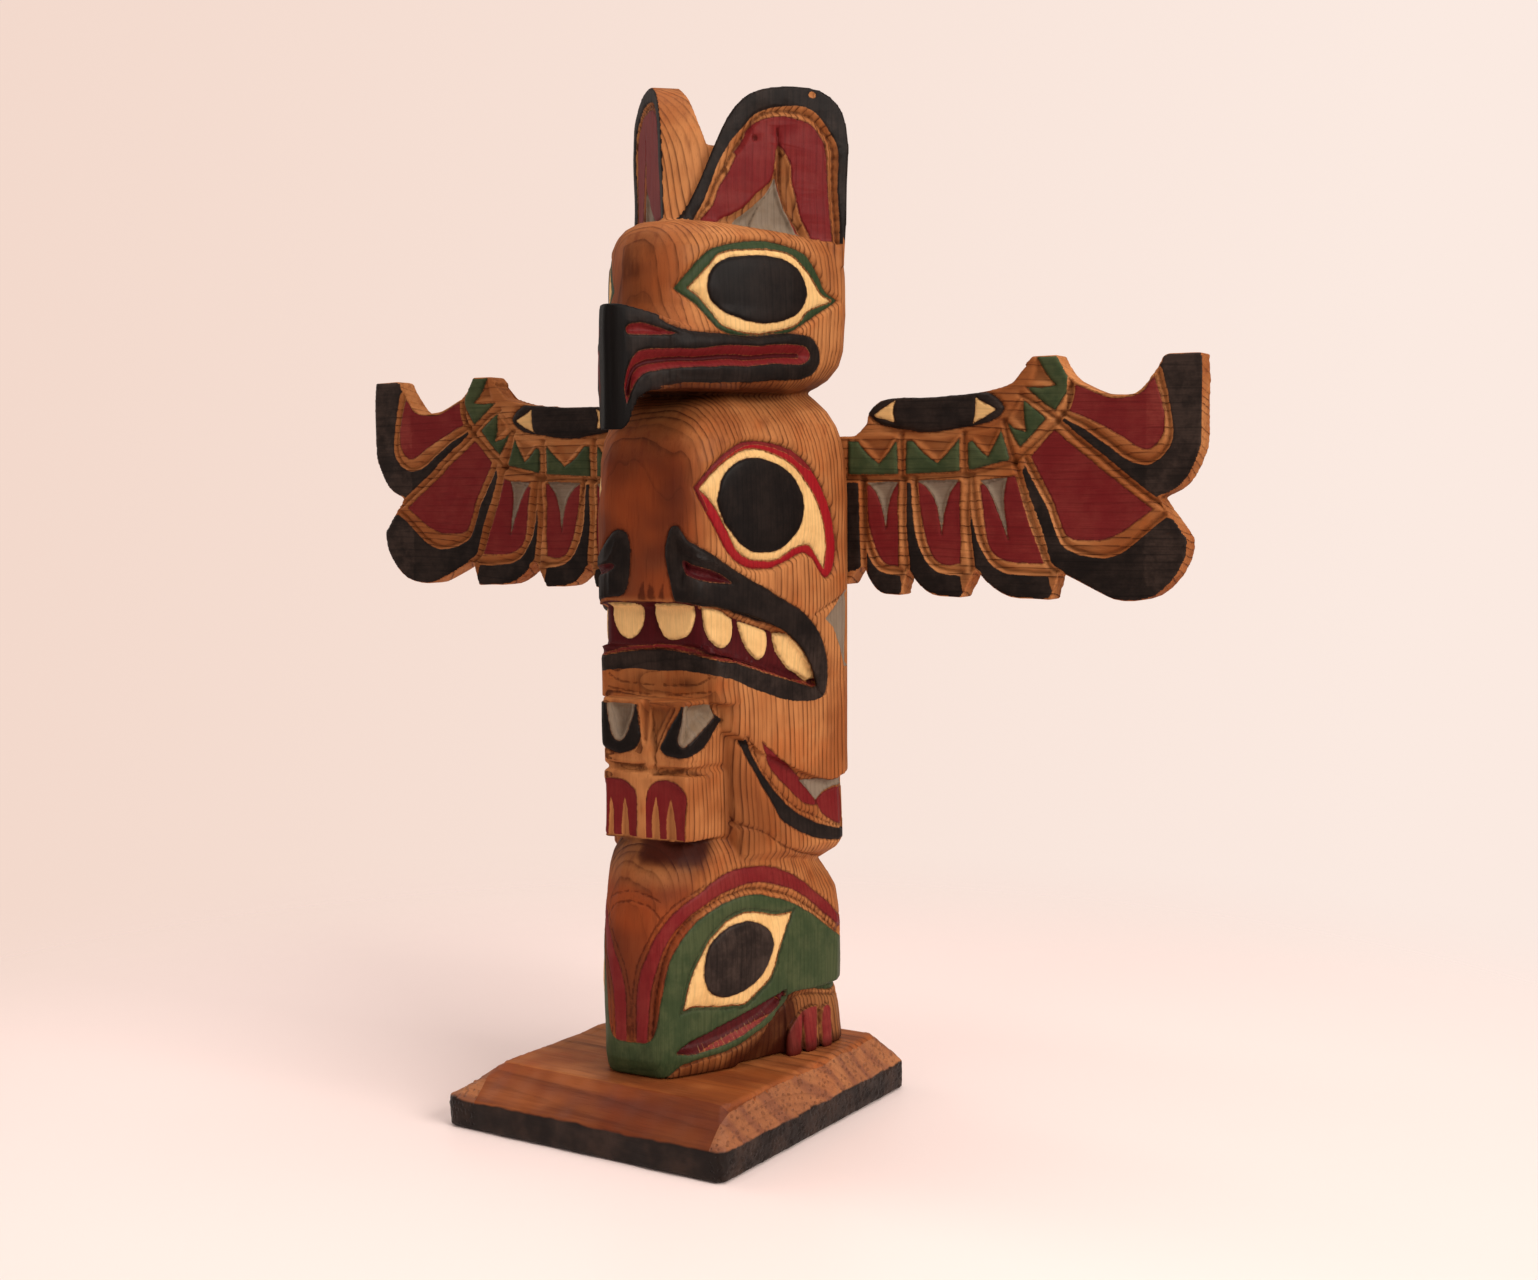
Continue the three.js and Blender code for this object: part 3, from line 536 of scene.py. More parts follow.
def frog(c, y):
    """The frog at the foot: a red arch over a green face, and its toes at the side."""
    arch = c.inside([
        (10, 28.6, 1), (10.2, 38.6), (10.7, 46.4), (12.6, 53.1), (15.7, 59.7), (20.6, 66),
        (26.4, 70.2), (34, 74), (41.9, 77.5), (49.8, 79.6), (57, 79.8), (66.1, 78), (75.7, 73.8),
        (85.3, 67.5), (91.3, 62.4), (99, 54.6), (104, 49, 1), (99, 50), (93, 57.2), (87, 61.6),
        (80.1, 66.6), (71.5, 71.2), (63.1, 74), (55, 74.9), (47.9, 73.9), (39.1, 71.2),
        (30.5, 67.4), (25.2, 63.9), (20.5, 58.5), (17.4, 52.1), (15.4, 45.6), (14.2, 37.8),
        (13.7, 28.6, 1),
    ])
    c.lay("red", arch)
    c.wear(arch, 0.45)
    green = c.inside([
        (17, 34.6), (19.1, 42.4), (20.4, 48.2), (23, 55.2), (27.3, 61.2), (33.9, 65.8),
        (40.8, 68.9), (47.8, 70.8), (54.9, 71.5), (61.2, 70.8), (68.5, 68.4), (76.1, 65),
        (82.9, 61), (93.3, 54.4), (104, 46, 1), (104, 35.6, 1), (95, 35.8), (85.8, 36.9),
        (76, 38.8), (72.5, 38.9), (70.6, 36), (66.2, 33), (59, 29.9), (50.9, 27.1), (42.2, 24.8),
        (33.5, 23.9), (26.8, 23), (22, 20.2), (18, 17, 1), (-4, 17, 1), (-4, 30.6, 1), (9, 30.2),
        (14, 30.8),
    ])
    c.lay("green", green)
    c.wear(green, 1.0)
    c.score(np.where(c.up > 31, arch, FAR), 1.3, 0.4)
    c.score(green, 1.3, 0.4)
    c.groove([
        (15.2, 33), (16.6, 41), (17.9, 47.6), (20, 54), (24, 60.8), (30, 66), (39, 70), (48, 72.4),
        (55, 73.2), (62, 72.4), (70, 69.8), (78, 65.9), (86, 60.8), (96, 53),
    ], 2.9, 1.15, 0.4, 2.8)
    c.groove([(8.8, 31), (9, 44), (10.6, 52.6), (14, 60), (19.4, 67.2), (26, 71.8), (36, 76)],
             1.6, 0.35)
    eye(
        c,
        [(26.4, 38.4, 1), (28, 43.8), (30, 50), (33.6, 55.4), (37.2, 59.8), (42.6, 64.4),
         (47.4, 66.6), (53, 67.4), (60, 66.3), (66, 65), (73.6, 64.6, 1), (70.4, 59.4), (67.4, 54),
         (65.6, 48), (62.6, 43.8), (57, 40.4), (52, 37.8), (45, 38), (37, 39.3), (31.6, 39.6)],
        [(28, 39.6, 1), (29.3, 43.6), (31.1, 49.2), (34.5, 54.6), (38, 58.8), (43, 63.2),
         (47.7, 65.5), (53, 66.2), (60, 65.2), (66, 64), (72.2, 63.8, 1), (69.2, 59.4), (66.4, 54),
         (64.5, 48.4), (61.8, 44.7), (56.5, 41.5), (51.9, 39), (45.4, 39.1), (37, 40.4),
         (32, 40.7)],
        [(35.3, 50), (36.6, 55.6), (40, 60), (45, 63), (50.6, 63.9), (57, 62.9), (62, 60),
         (63.8, 55.4), (62.2, 51), (58.6, 46.6), (53, 43.5), (46.6, 41.9), (41, 42.7),
         (36.8, 45.4)],
        "green", rise=1.1, sunk=0, faded=0.9,
    )
    mouth = c.inside([
        (24.9, 27.1, 1), (30.2, 29.9), (38.7, 32.1), (47.4, 34.5), (56.3, 37), (64, 39.2),
        (70.4, 40.6, 1), (68.8, 38.2), (65, 35.6), (59, 32.4), (52.7, 29.9), (45.6, 27.8),
        (38.7, 26.6), (31.8, 26.1),
    ])
    c.lay("red", mouth)
    roof = c.along([(24.9, 27.1), (38.7, 31.4), (56.3, 36.3), (70, 40)])[0]
    within = np.clip(mouth, 0, FAR)
    c.height -= 2.8 * within / (within + 0.45 * roof + 0.05)
    c.score(mouth, 1.0, 0.2)
    c.lay("maroon", np.minimum(mouth, 3.6 - roof))
    low_edge = [(28, 26.8), (34, 26.9), (40, 27.5), (47, 29), (54, 31.4), (60, 34), (65.5, 37)]
    distance, step = c.along(low_edge)
    notch = np.abs(step / 2.0 % 1 - 0.5) * 2
    marks = np.minimum(0.8 - np.abs(distance - 0.8), (notch - 0.84) * 1.4)
    marks = np.where((mouth > 0.2) & (c.across > 33) & (c.across < 62), marks - 0.05, -FAR)
    c.lay("grey", marks)
    c.scratch([
        (26.8, 22.8), (33.5, 23.6), (42.2, 24.5), (50.9, 26.8), (59, 29.6), (66.2, 32.7),
        (70.6, 36),
    ], 0.3)
    c.scratch([(9, 75.4), (12.1, 74.8), (15.8, 73.8), (19.2, 72.2)], 0.2)
    c.scratch([(9, 72.3), (12.8, 71.6), (15.6, 70.7), (20.2, 66.4)], 0.2)
    c.live = c.live & (y > 2)  # the toes lie beyond the jaw
    toes = (
        [(70.6, 17, 1), (70.6, 25.2), (71.4, 27.8), (73.8, 30), (77.4, 31.8, 1), (77.1, 29.6),
         (76.1, 25), (75.6, 17, 1)],
        [(78.2, 17, 1), (78.2, 25), (77.7, 29.6, 1), (77.6, 31.9, 1), (80.2, 32.4),
         (83.3, 32.2, 1), (83.1, 28), (82, 17, 1)],
        [(85.9, 17, 1), (85.8, 24), (86, 30.4), (87, 31.8), (88.9, 31.2), (89.4, 27),
         (89.8, 17, 1)],
    )
    for toe in toes:
        field = c.inside(toe)
        c.lay("red", field)
        c.swell(field + 0.8, 0.9, 2.4)
        c.score(field + 0.6, 1.0, 0.5)
        c.wear(field, 0.8)
    for at in (77.7, 85.2):
        c.groove([(at, 17), (at, 25), (at - 0.2, 31)], 1.9, 1.3)
    c.groove([(71.4, 35.6), (76, 36.6), (84, 36), (95, 33.6)], 2.0, 0.7)


def ear(c):
    """Both ears: black rim, bare groove, red field with its slit and grey foot."""
    left = c.left
    outline = [
        (-0.2, 268, 1), (2.3, 277.3), (5.6, 284), (12.4, 299.3), (16.7, 306.2), (21.8, 310.5),
        (28.3, 312.5), (36, 313.2), (44, 312.4), (49.6, 308.8), (52.4, 303.4), (53.2, 296),
        (52.6, 262, 1),
    ]
    fuller = [
        (-3.2, 268, 1), (-1.4, 284), (0.6, 295), (3.4, 303.6), (8.2, 310.2), (14, 313.6),
        (20.6, 315.1), (31, 315.4), (40, 313.8), (48.4, 310), (51.8, 304.6), (52.8, 297),
        (52.6, 262, 1),
    ]
    field = c.each(fuller, outline)
    c.lay("black", field + 3)
    c.wear(field + 3, 0.4)
    inner = c.inside([
        (1, 268, 1), (6.2, 276.8), (9.6, 283.8), (11.4, 289.1), (14, 293.4), (17, 297.7),
        (19.6, 300.6), (22.5, 303.7), (26.6, 305.8), (31.9, 307.1), (37.5, 307.4), (41.7, 306),
        (44.9, 303), (47.3, 299.3), (49.1, 296.4), (49.6, 291.8), (49.6, 285.7), (49.8, 278.7),
        (50.4, 262, 1),
    ])
    inner = np.where(left, field - 4.4, inner)
    c.strip(inner)
    red = c.inside([
        (3, 268, 1), (5.4, 271.9), (9.5, 276.6), (12.1, 281.9), (15.8, 289), (17.3, 291.7, 1),
        (16.9, 293, 1), (19.7, 297.4), (20.7, 299.6), (23.3, 301.8), (26.6, 303.2), (31.9, 304.1),
        (36.7, 303.5), (40.9, 302.1), (43.5, 299.5), (45.4, 295.7), (46.2, 290.5), (46.4, 284.5),
        (46.7, 277.5), (48.3, 262, 1),
    ])
    red = np.where(left, field - 6.6, red)
    foot = np.interp(c.across, [0, 12.3, 23.8, 37.7, 48.8, 54],
                     [272.4, 271.5, 270.6, 268.4, 267, 266.6])
    red = np.minimum(red, c.up - foot)
    c.lay("red", red)
    c.sink(red + 0.4, 0.5, 1.2)
    middle = [
        (2.4, 269), (7.8, 276.7), (10.9, 282.9), (14.9, 290.4), (18.4, 296.2), (21.5, 301),
        (24.6, 303.9), (29, 305.4), (34, 305.8), (39.2, 304.9), (43, 302.5), (45.8, 299),
        (47.6, 295.6), (48, 290.6), (48.1, 284.5), (48.4, 277.5), (49.4, 264),
    ]
    distance, step = c.along(middle)
    distance = np.where(left, np.abs(field - 5.5), distance)
    c.cut(distance, 1.2, 1.7)
    nick = np.abs((step / 3.1 + unsteady(step, distance, 11, 0.3, 8)) % 1 - 0.5) * 2
    c.cut(distance, 0.5 * (1 - nick) ** 2, 1.9)
    c.mark(distance * 0.8)
    c.score(red, 0.8, 0.25)
    valley = c.inside([
        (29.9, 288.4, 1), (28.1, 284.9), (24.3, 281.4), (20.6, 277.4), (16.9, 274.8),
        (13.2, 273.1), (5.7, 270.4, 1), (14.5, 268, 1), (20, 270), (25, 278), (29.4, 284, 1),
    ])
    c.strip(valley)
    c.sink(valley + 0.6, 0.9, 1.2)
    c.mark(np.abs(valley) + 0.15)
    grey = c.inside([
        (29.6, 286.2, 1), (27.5, 282.2), (23.3, 277.7), (18.5, 274), (14.6, 271.4, 1),
        (15, 267, 1), (37.8, 265, 1), (34.2, 272.8), (31.8, 277.7), (30.2, 282),
    ])
    c.lay("grey", grey)
    c.wear(grey, 0.5)
    c.sink(grey, 1.0, 1.4)
    wedge = c.inside([
        (30.7, 295.6, 1), (32.6, 293.3), (34.4, 289.9), (34.8, 285), (36.3, 279.8), (37.4, 275.3),
        (39.3, 271.2), (43, 265, 1), (39, 265, 1), (35, 272.4), (32.3, 276.8), (31, 280.6),
        (30, 284.6), (29.6, 289), (29.9, 293.6),
    ])
    c.strip(wedge)
    c.sink(wedge, 0.9, 1.6)
    c.score(wedge, 0.8, 0.25)
    crack = c.along([
        (30.4, 300.2), (30.7, 296.4), (31.2, 291), (31, 284.6), (31.9, 280), (33.4, 275.9),
        (35.6, 272.6), (39.6, 267),
    ])[0]
    c.cut(crack, 1.1, 0.7)
    c.mark(crack)
    knot = np.where(left, FAR, np.hypot(c.across - 23.2, c.up - 297.2))
    c.cut(knot, 1.1, 1.1)
    c.mark(np.maximum(knot - 0.6, 0))
    chip = np.where(left, FAR, np.hypot((c.across - 41.3) / 1.3, c.up - 311))
    c.strip(0.9 - chip)
    c.height -= 0.35 * np.clip(1.2 - chip, 0, 1)


WING_EDGE = [
    (20, 209.5, 1), (40, 209.5, 1), (44, 213), (44.6, 216.4), (47.5, 219.2), (52, 220.9),
    (66, 221), (80, 221.8), (87, 222.8), (92.6, 224.6), (95.6, 228, 1), (99, 231.4, 1),
    (106.9, 231.5, 1), (108.4, 228.6), (111.4, 224.6), (116, 222.2), (121, 220.1), (127, 219.5),
    (133.8, 222.4, 1), (137.6, 227.6, 1), (138.8, 230.2, 1), (140.4, 230.9, 1), (150.4, 230.7, 1),
    (150.5, 225), (150.5, 208), (149.6, 202.2), (146.6, 195.8), (143, 192.2), (138, 189.9, 1),
    (143.2, 182.8, 1), (146.7, 177.8), (146.4, 173.6), (144.4, 168.8), (140.6, 164.2),
    (136.4, 161.2), (131, 160), (125.4, 160.1), (120.8, 162), (114.6, 164.9), (107.8, 168.3, 1),
    (105.4, 159.8, 1), (95, 160), (86, 163.6), (81.2, 168.7, 1), (76.7, 159.8, 1), (69.6, 160),
    (62, 163.6), (58.7, 168.6, 1), (56.4, 160, 1), (51, 160.4), (46, 163.6), (43.9, 169, 1),
    (40.8, 167, 1), (20, 163, 1),
]


def wing(c):
    """One wing: eye, green band and six feathers, the same on both sides."""
    edge = c.inside(WING_EDGE)
    rim = 0.1 + unsteady(c.across, c.up, 5, 0.25, 21)

    def painted(name, points):
        field = c.inside(points)
        c.lay(name, np.minimum(field, edge - rim))
        return field

    c.sink(np.where((c.up > 199) & (c.across < 97), 1.4 - edge, -FAR), 0.8, 1.4)
    lozenge = painted("black", [
        (45, 215.9, 1), (47.8, 218.7), (52.8, 220.7), (65.4, 220.9), (79.4, 221.4), (84.2, 221.6),
        (88.1, 219.7), (90.6, 216.6, 1), (88.9, 214.2), (84.7, 212.3), (79.5, 211), (65.4, 210),
        (54.6, 210.8), (49.2, 212.6),
    ])
    c.swell(lozenge, 0.7, 3)
    c.score(lozenge, 1.6, 0.7)
    for corner in ([(55.1, 219.6, 1), (47.3, 215.2, 1), (54.9, 212.6, 1), (54.2, 216)],
                   [(81.4, 219.9, 1), (88.2, 216.2, 1), (80.6, 211.8, 1), (81.4, 215.8)]):
        field = painted("cream", corner)
        c.score(field, 0.9, 0.25)
    shelf = c.inside([
        (41, 210.6, 1), (49, 210.6), (56.4, 208.6), (77.7, 209), (91.5, 212.4, 1),
        (95.4, 219.6, 1), (91.4, 216), (84.7, 211), (66, 209.2), (50, 211.6),
    ])
    c.sink(shelf + 0.6, 0.7, 1.2)

    green = [
        [(38.4, 207.4, 1), (41.8, 207.4, 1), (45.4, 203.4), (49, 200.3, 1), (52, 203.4),
         (55.3, 207.4, 1), (55.3, 197.1, 1), (38.4, 196.7, 1)],
        [(58.1, 207.1, 1), (60.3, 207.2, 1), (64.6, 203.4), (68.7, 200.5, 1), (72, 203.6),
         (76, 207.5, 1), (76, 197.5, 1), (58.1, 197, 1)],
        [(78.7, 206.4, 1), (80.3, 206.8, 1), (82.8, 204), (85.2, 201.9, 1), (87, 205.4),
         (89.4, 210.2, 1), (92.2, 201.3, 1), (78.9, 197.8, 1)],
        [(91.3, 212.6, 1), (94, 210.4), (97.1, 209.3, 1), (96.4, 213), (96.3, 218.6, 1),
         (103.8, 213.1, 1), (95.4, 204.8, 1)],
        [(97.4, 222.6, 1), (102, 222.2), (106.6, 222.8, 1), (103.2, 226.4), (100.3, 231.3, 1),
         (106.9, 231.5, 1), (110.9, 223.8), (110.1, 220.7), (106.4, 215.4, 1), (101, 219)],
    ]
    for cell in green:
        field = painted("green", cell)
        c.wear(field, 1.0)
        c.swell(np.minimum(field, 2), 0.3, 1.8)
        c.score(field, 1.2, 0.45)
    notches = [
        [(41.8, 208.6, 1), (49, 200.8, 1), (55.2, 208.6, 1)],
        [(60.4, 208.4, 1), (68.7, 201, 1), (75.8, 208.6, 1)],
        [(80.3, 208, 1), (85.3, 202.5, 1), (89.2, 211, 1)],
        [(92, 213.6, 1), (97, 209.8, 1), (96.2, 219, 1)],
        [(98, 223.6, 1), (106, 223.3, 1), (100.4, 231, 1)],
    ]
    for notch in notches:
        c.sink(c.inside(notch, 2) + 0.3, 1.1, 1.8)

    blacks = [
        [(106.7, 213, 1), (108.7, 214.6, 1), (116.6, 210.6), (122.6, 206), (128.8, 201.9),
         (134.4, 200.3), (138.7, 202.5), (141.4, 207.8), (140.5, 215.4), (137.4, 225.6, 1),
         (138, 232, 1), (153, 232, 1), (152, 205), (149, 197), (144, 191), (138.4, 188, 1),
         (133.7, 191.1), (120, 201.8)],
        [(97.3, 201.6, 1), (104.4, 188.8), (107.2, 182), (110.3, 176.4), (116.9, 173.8),
         (125.1, 174.2), (133.1, 179.7), (138.6, 184.8, 1), (143.6, 183.6, 1), (149, 178),
         (147, 168), (137, 159), (124, 158), (113, 163), (106.4, 169, 1), (101.9, 182),
         (96, 197.6, 1)],
        [(80, 195, 1), (81, 187), (83.7, 176), (87.5, 170.5), (91.8, 168.5), (104.6, 167.5, 1),
         (107, 158, 1), (93, 158), (83, 163), (78.8, 170), (78.6, 195, 1)],
        [(58, 195, 1), (61, 194, 1), (61.8, 184), (63.4, 175.8), (68.2, 168), (76.6, 166, 1),
         (78, 158, 1), (66, 158), (59, 163.6), (57.4, 170)],
        [(43, 195, 1), (43.8, 184), (45.1, 176.4), (49.2, 169.2), (56.4, 167.2, 1), (57.4, 158, 1),
         (47, 159), (42.8, 166), (42.4, 180)],
        [(38, 195, 1), (43.2, 194.4, 1), (43.6, 184), (44, 169.7), (38, 164, 1)],
    ]
    for shape in blacks:
        painted("black", shape)
    c.worn = np.where(c.across > 134, 0.75, c.worn)
    reds = [
        [(110.7, 223.2, 1), (116.5, 221.4), (124.6, 218.6), (131.8, 219.4), (136.7, 224.6, 1),
         (139, 215.4), (138.9, 208.6), (136.1, 204.4), (132.8, 204.1), (128, 206.6), (120, 211.2),
         (110, 215.6, 1)],
        [(106.3, 209.6, 1), (99, 202.2, 1), (104.3, 191.9), (108, 184), (111.1, 178),
         (120.2, 177.5), (128.2, 180.7), (136.6, 186.2, 1), (132.4, 189.4, 1), (120, 198.9)],
        [(82.6, 193.6, 1), (93.6, 196.7, 1), (98.6, 184), (103.4, 170.7, 1), (96, 170.5),
         (90.1, 171.3), (86.6, 174), (84.9, 178)],
        [(61.4, 194.6, 1), (76.3, 194.8, 1), (76.4, 169.9, 1), (72, 169.6), (68, 171.4),
         (64.6, 178.2), (62.8, 186)],
        [(44, 193.6, 1), (55.5, 195.2, 1), (55.9, 168.9, 1), (51, 170), (46.6, 178), (44.8, 186)],
    ]
    for shape in reds:
        field = painted("red", shape)
        c.sink(field, 0.25, 0.8)
        c.score(field, 1.0, 0.3)
    greys = [
        [(82.8, 195, 1), (91.4, 196, 1), (90.3, 189), (91.7, 177.4, 1), (89.4, 183), (87.2, 188.6),
         (85.2, 192.4)],
        [(62.2, 195, 1), (75.6, 195.3, 1), (72.6, 190.4), (71, 185), (70.4, 178.8, 1), (69.4, 184),
         (67.6, 189), (65, 192.8)],
        [(44.1, 195.1, 1), (55.6, 195.4, 1), (53.2, 190.6), (51.8, 185.6), (51.3, 180.2, 1),
         (50.2, 186), (48.6, 190.6), (46.4, 193.4)],
    ]
    for shape in greys:
        field = painted("grey", shape)
        c.sink(field, 0.9, 1.6)
        c.score(field, 0.8, 0.2)

    grooves = [
        [(34, 195.8), (58.3, 196.1), (77.8, 196.8), (91.6, 199.9), (97.1, 203.8), (106.7, 211.9),
         (110.6, 218), (111.4, 224.6)],
        [(56.4, 209), (56.6, 201.8), (56.5, 195.6)],
        [(77.3, 209), (77.5, 202), (77.4, 196)],
        [(90.4, 212.6), (92, 206), (93.5, 200.4)],
        [(95.6, 220.2), (100.6, 217.4), (106.9, 213)],
        [(108.2, 214.8), (116.6, 210.6), (122.6, 206.2), (128.8, 202), (134.4, 200.6),
         (138.5, 202.7), (141, 207.8), (140.1, 215.4), (137.3, 226.2)],
        [(106.7, 212.3), (113, 207.4), (120, 201.8), (133.7, 191.1), (139.4, 187)],
        [(97.3, 201.6), (104.4, 188.9), (107.3, 182), (110.4, 176.3), (116.9, 173.7),
         (125.1, 174.2), (133.1, 179.7), (139.4, 185)],
        [(93.4, 200.4), (99, 185), (104.6, 170.6), (108.4, 167.4)],
        [(80, 196.6), (81.2, 186), (83.8, 176), (87.6, 170.6), (91.8, 168.6), (105, 167.8)],
        [(61.2, 196), (61.9, 185), (63.5, 175.7), (67.3, 170.1), (71, 168.4), (77, 167.4)],
        [(43.6, 196), (44, 185), (45.2, 176.4), (49.2, 169.1), (56.8, 167.2)],
        [(78.6, 196.6), (78.7, 182), (80, 167.4)],
        [(57.4, 196), (57.6, 181), (58.4, 167)],
        [(43.2, 196), (43.5, 182), (44, 167)],
    ]
    for line in grooves:
        c.groove(line, 2.3, 1.35, bare=True, dark=False)
    for end in (57.6, 78.9, 107.4):
        c.darken([(end - 2.6, 156), (end + 1, 156), (end + 1, 169), (end - 2, 169)], 0.6)
    c.darken([(148.6, 196), (154, 196), (154, 233), (148.6, 233)], 0.6)


def soot(c, y):
    """Painted shade in the dark corners under the beak, the chin and the paws and on the frog's
    crown, with the dirt gathered there.
    """
    below = (y > -12) | (c.up < 89.6)
    c.darken([(-6, 205), (12, 206), (24, 208), (34, 213), (44, 219), (54, 228), (-6, 228)], 0.6)
    c.darken([(16, 219), (60, 219), (72, 220), (72, 224.4), (44, 224.6), (16, 224)], 0.9)
    c.darken([(60, 220), (104, 221), (104, 226), (60, 226)], 0.5)
    c.darken([(34, 131), (46, 118), (60, 100), (70, 91), (60, 85), (40, 85), (34, 100)], 0.35,
             y > -15.5)
    c.darken([(14, 127), (48, 127), (48, 130.5), (14, 130.5)], 0.2)
    crown = [(-6, 81), (12, 82), (24, 81), (35, 81), (38.6, 84), (40.6, 91), (42, 99), (-6, 99)]
    c.darken(crown, 1.12, below & ~c.left)
    c.darken(crown, 0.75, below & c.left)
    c.darken([(18, 15), (70, 15), (70, 21.4), (18, 21.4)], 0.85)
    c.darken([(42, 15), (74, 15), (74, 40), (66, 35), (54, 28), (44, 24)], 0.95)
    c.darken([(60, 15), (72, 15), (72, 29), (66, 26), (58, 20)], 1.3)
    c.darken([(68, 15), (104, 15), (104, 33), (68, 35)], 0.55, y > 2)
    c.darken([(68, 15), (104, 15), (104, 22), (84, 23.4), (68, 24.6)], 1.05, y > 2)
    c.darken([(17, 196), (24, 195), (30, 199), (28, 205), (18, 205)], 0.3)


# ---- from block to carving -------------------------------------------------

def pick(piece):
    bpy.ops.object.select_all(action="DESELECT")
    piece.select_set(True)
    bpy.context.view_layer.objects.active = piece


def block(name, node, fineness):
    """A copy of the sawn shape with an even skin, fine enough to carve."""
    piece = bpy.data.objects.new(name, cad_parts[node].data.copy())
    bpy.context.scene.collection.objects.link(piece)
    piece.data.materials.clear()
    pick(piece)
    bpy.ops.object.mode_set(mode="EDIT")
    bpy.ops.mesh.select_all(action="SELECT")
    bpy.ops.mesh.remove_doubles(threshold=0.00001)
    bpy.ops.mesh.normals_make_consistent(inside=False)
    bpy.ops.object.mode_set(mode="OBJECT")
    skin = piece.modifiers.new("Skin", "REMESH")
    skin.mode = "VOXEL"
    skin.voxel_size = fineness * MM
    bpy.ops.object.modifier_apply(modifier=skin.name)
    soften = piece.modifiers.new("Soften", "SMOOTH")
    soften.factor = 0.5
    soften.iterations = 3
    bpy.ops.object.modifier_apply(modifier=soften.name)
    return piece


def points_and_facing(piece):
    """Where each point of the skin is, in millimetres, and which way it faces."""
    at, way = np.zeros((2, len(piece.data.vertices) * 3))
    piece.data.vertices.foreach_get("co", at)
    piece.data.vertices.foreach_get("normal", way)
    return at.reshape(-1, 3) / MM, way.reshape(-1, 3)


def move_to(piece, at):
    piece.data.vertices.foreach_set("co", (at * MM).ravel())
    piece.data.update()


def note(piece, **measures):
    """Write a number for every point on the piece."""
    for name, values in measures.items():
        layer = piece.data.attributes.new(name, "FLOAT", "POINT")
        layer.data.foreach_set("value", np.asarray(values, np.float32))


def take_back(piece, *names):
    """Read those numbers again, and clear them off the piece."""
    found = np.zeros((len(names), len(piece.data.vertices)), np.float32)
    for name, values in zip(names, found):
        layer = piece.data.attributes[name]
        layer.data.foreach_get("value", values)
        piece.data.attributes.remove(layer)
    return found.astype(float)


def note_paint(piece, c):
    note(piece, **c.paint, knife=c.knife, deep=-c.height, stain=c.stain, worn=c.worn, soot=c.soot)


def thin_out(piece, most, c=None):
    """Fewer, larger faces where the surface is plain, and as they are along every edge."""
    piece.data.calc_loop_triangles()
    count = len(piece.data.loop_triangles)
    if count <= most:
        return
    pick(piece)
    thin = piece.modifiers.new("Thin", "DECIMATE")
    thin.ratio = most / count
    if c is not None:
        near = np.minimum(c.knife, np.abs(c.stain))
        for field in c.paint.values():
            near = np.minimum(near, np.abs(field))
        plain = piece.vertex_groups.new(name="plain")
        for share, points in ((0.02, near < 0.9), (1.0, near >= 0.9)):
            plain.add(np.nonzero(points)[0].tolist(), share, "REPLACE")
        thin.vertex_group = "plain"
        thin.vertex_group_factor = 0.00002
    bpy.ops.object.modifier_apply(modifier=thin.name)
    piece.vertex_groups.clear()


def give(piece, node, material):
    piece.data.polygons.foreach_set("use_smooth", np.ones(len(piece.data.polygons), bool))
    piece.data.materials.append(material)
    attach(piece, "root")
    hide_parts(node)


def pole_patterns(x, y, across, up, kind):
    """The pole's pattern: kind 0 is plain wood, 1 the body, 2 an ear's face."""
    body = Carving(across, up, kind == 1, x < 0)
    everywhere = body.live
    bird(body, y)
    bear(body)
    parting = (np.abs(x) < 2) & (y > -30.5) & (up > 113)
    body.live = everywhere & ~parting & (y < -10.5) & (up > PAWS_FOOT) & (up < PAWS_TOP)
    paws(body)
    body.live = everywhere & (y > -14) & (up < THIGH_TOP)
    thigh(body)
    body.live = everywhere & (up < FROG_TOP)
    frog(body, y)
    body.live = everywhere
    ears = Carving(across, up, kind == 2, x < 0)
    ear(ears)
    for name in PAINTS:
        body.paint[name] = np.maximum(body.paint[name], ears.paint[name])
    body.height += ears.height
    body.mark(ears.knife)
    body.worn = np.where(kind == 2, ears.worn, body.worn)
    # painted shade, with gathered grime, under the overhangs
    soot(body, y)
    # the prow is left almost flat and its paint whole, and the left side is cut less deep
    body.height = np.where(y < -45.5, np.minimum(body.height, 0.0) * 0.3, body.height)
    body.worn = np.where((y < -44.5) & (up < 250), 0.0, body.worn)
    flat = np.interp(y, [-37, -35, -28, -26], [0.0, 1.0, 1.0, 0.5])
    fair = np.interp(y, [-37, -35, -28, -26], [0.0, 1.0, 1.0, 0.12])
    flat = np.where(up > 220, np.minimum(flat, 0.4), flat)
    fair = np.where(up > 220, np.minimum(fair, 0.1), fair)
    damped = np.where(body.height < 0, flat, fair) * body.height
    body.height = np.where(body.left & (kind == 1), damped, body.height)
    return body


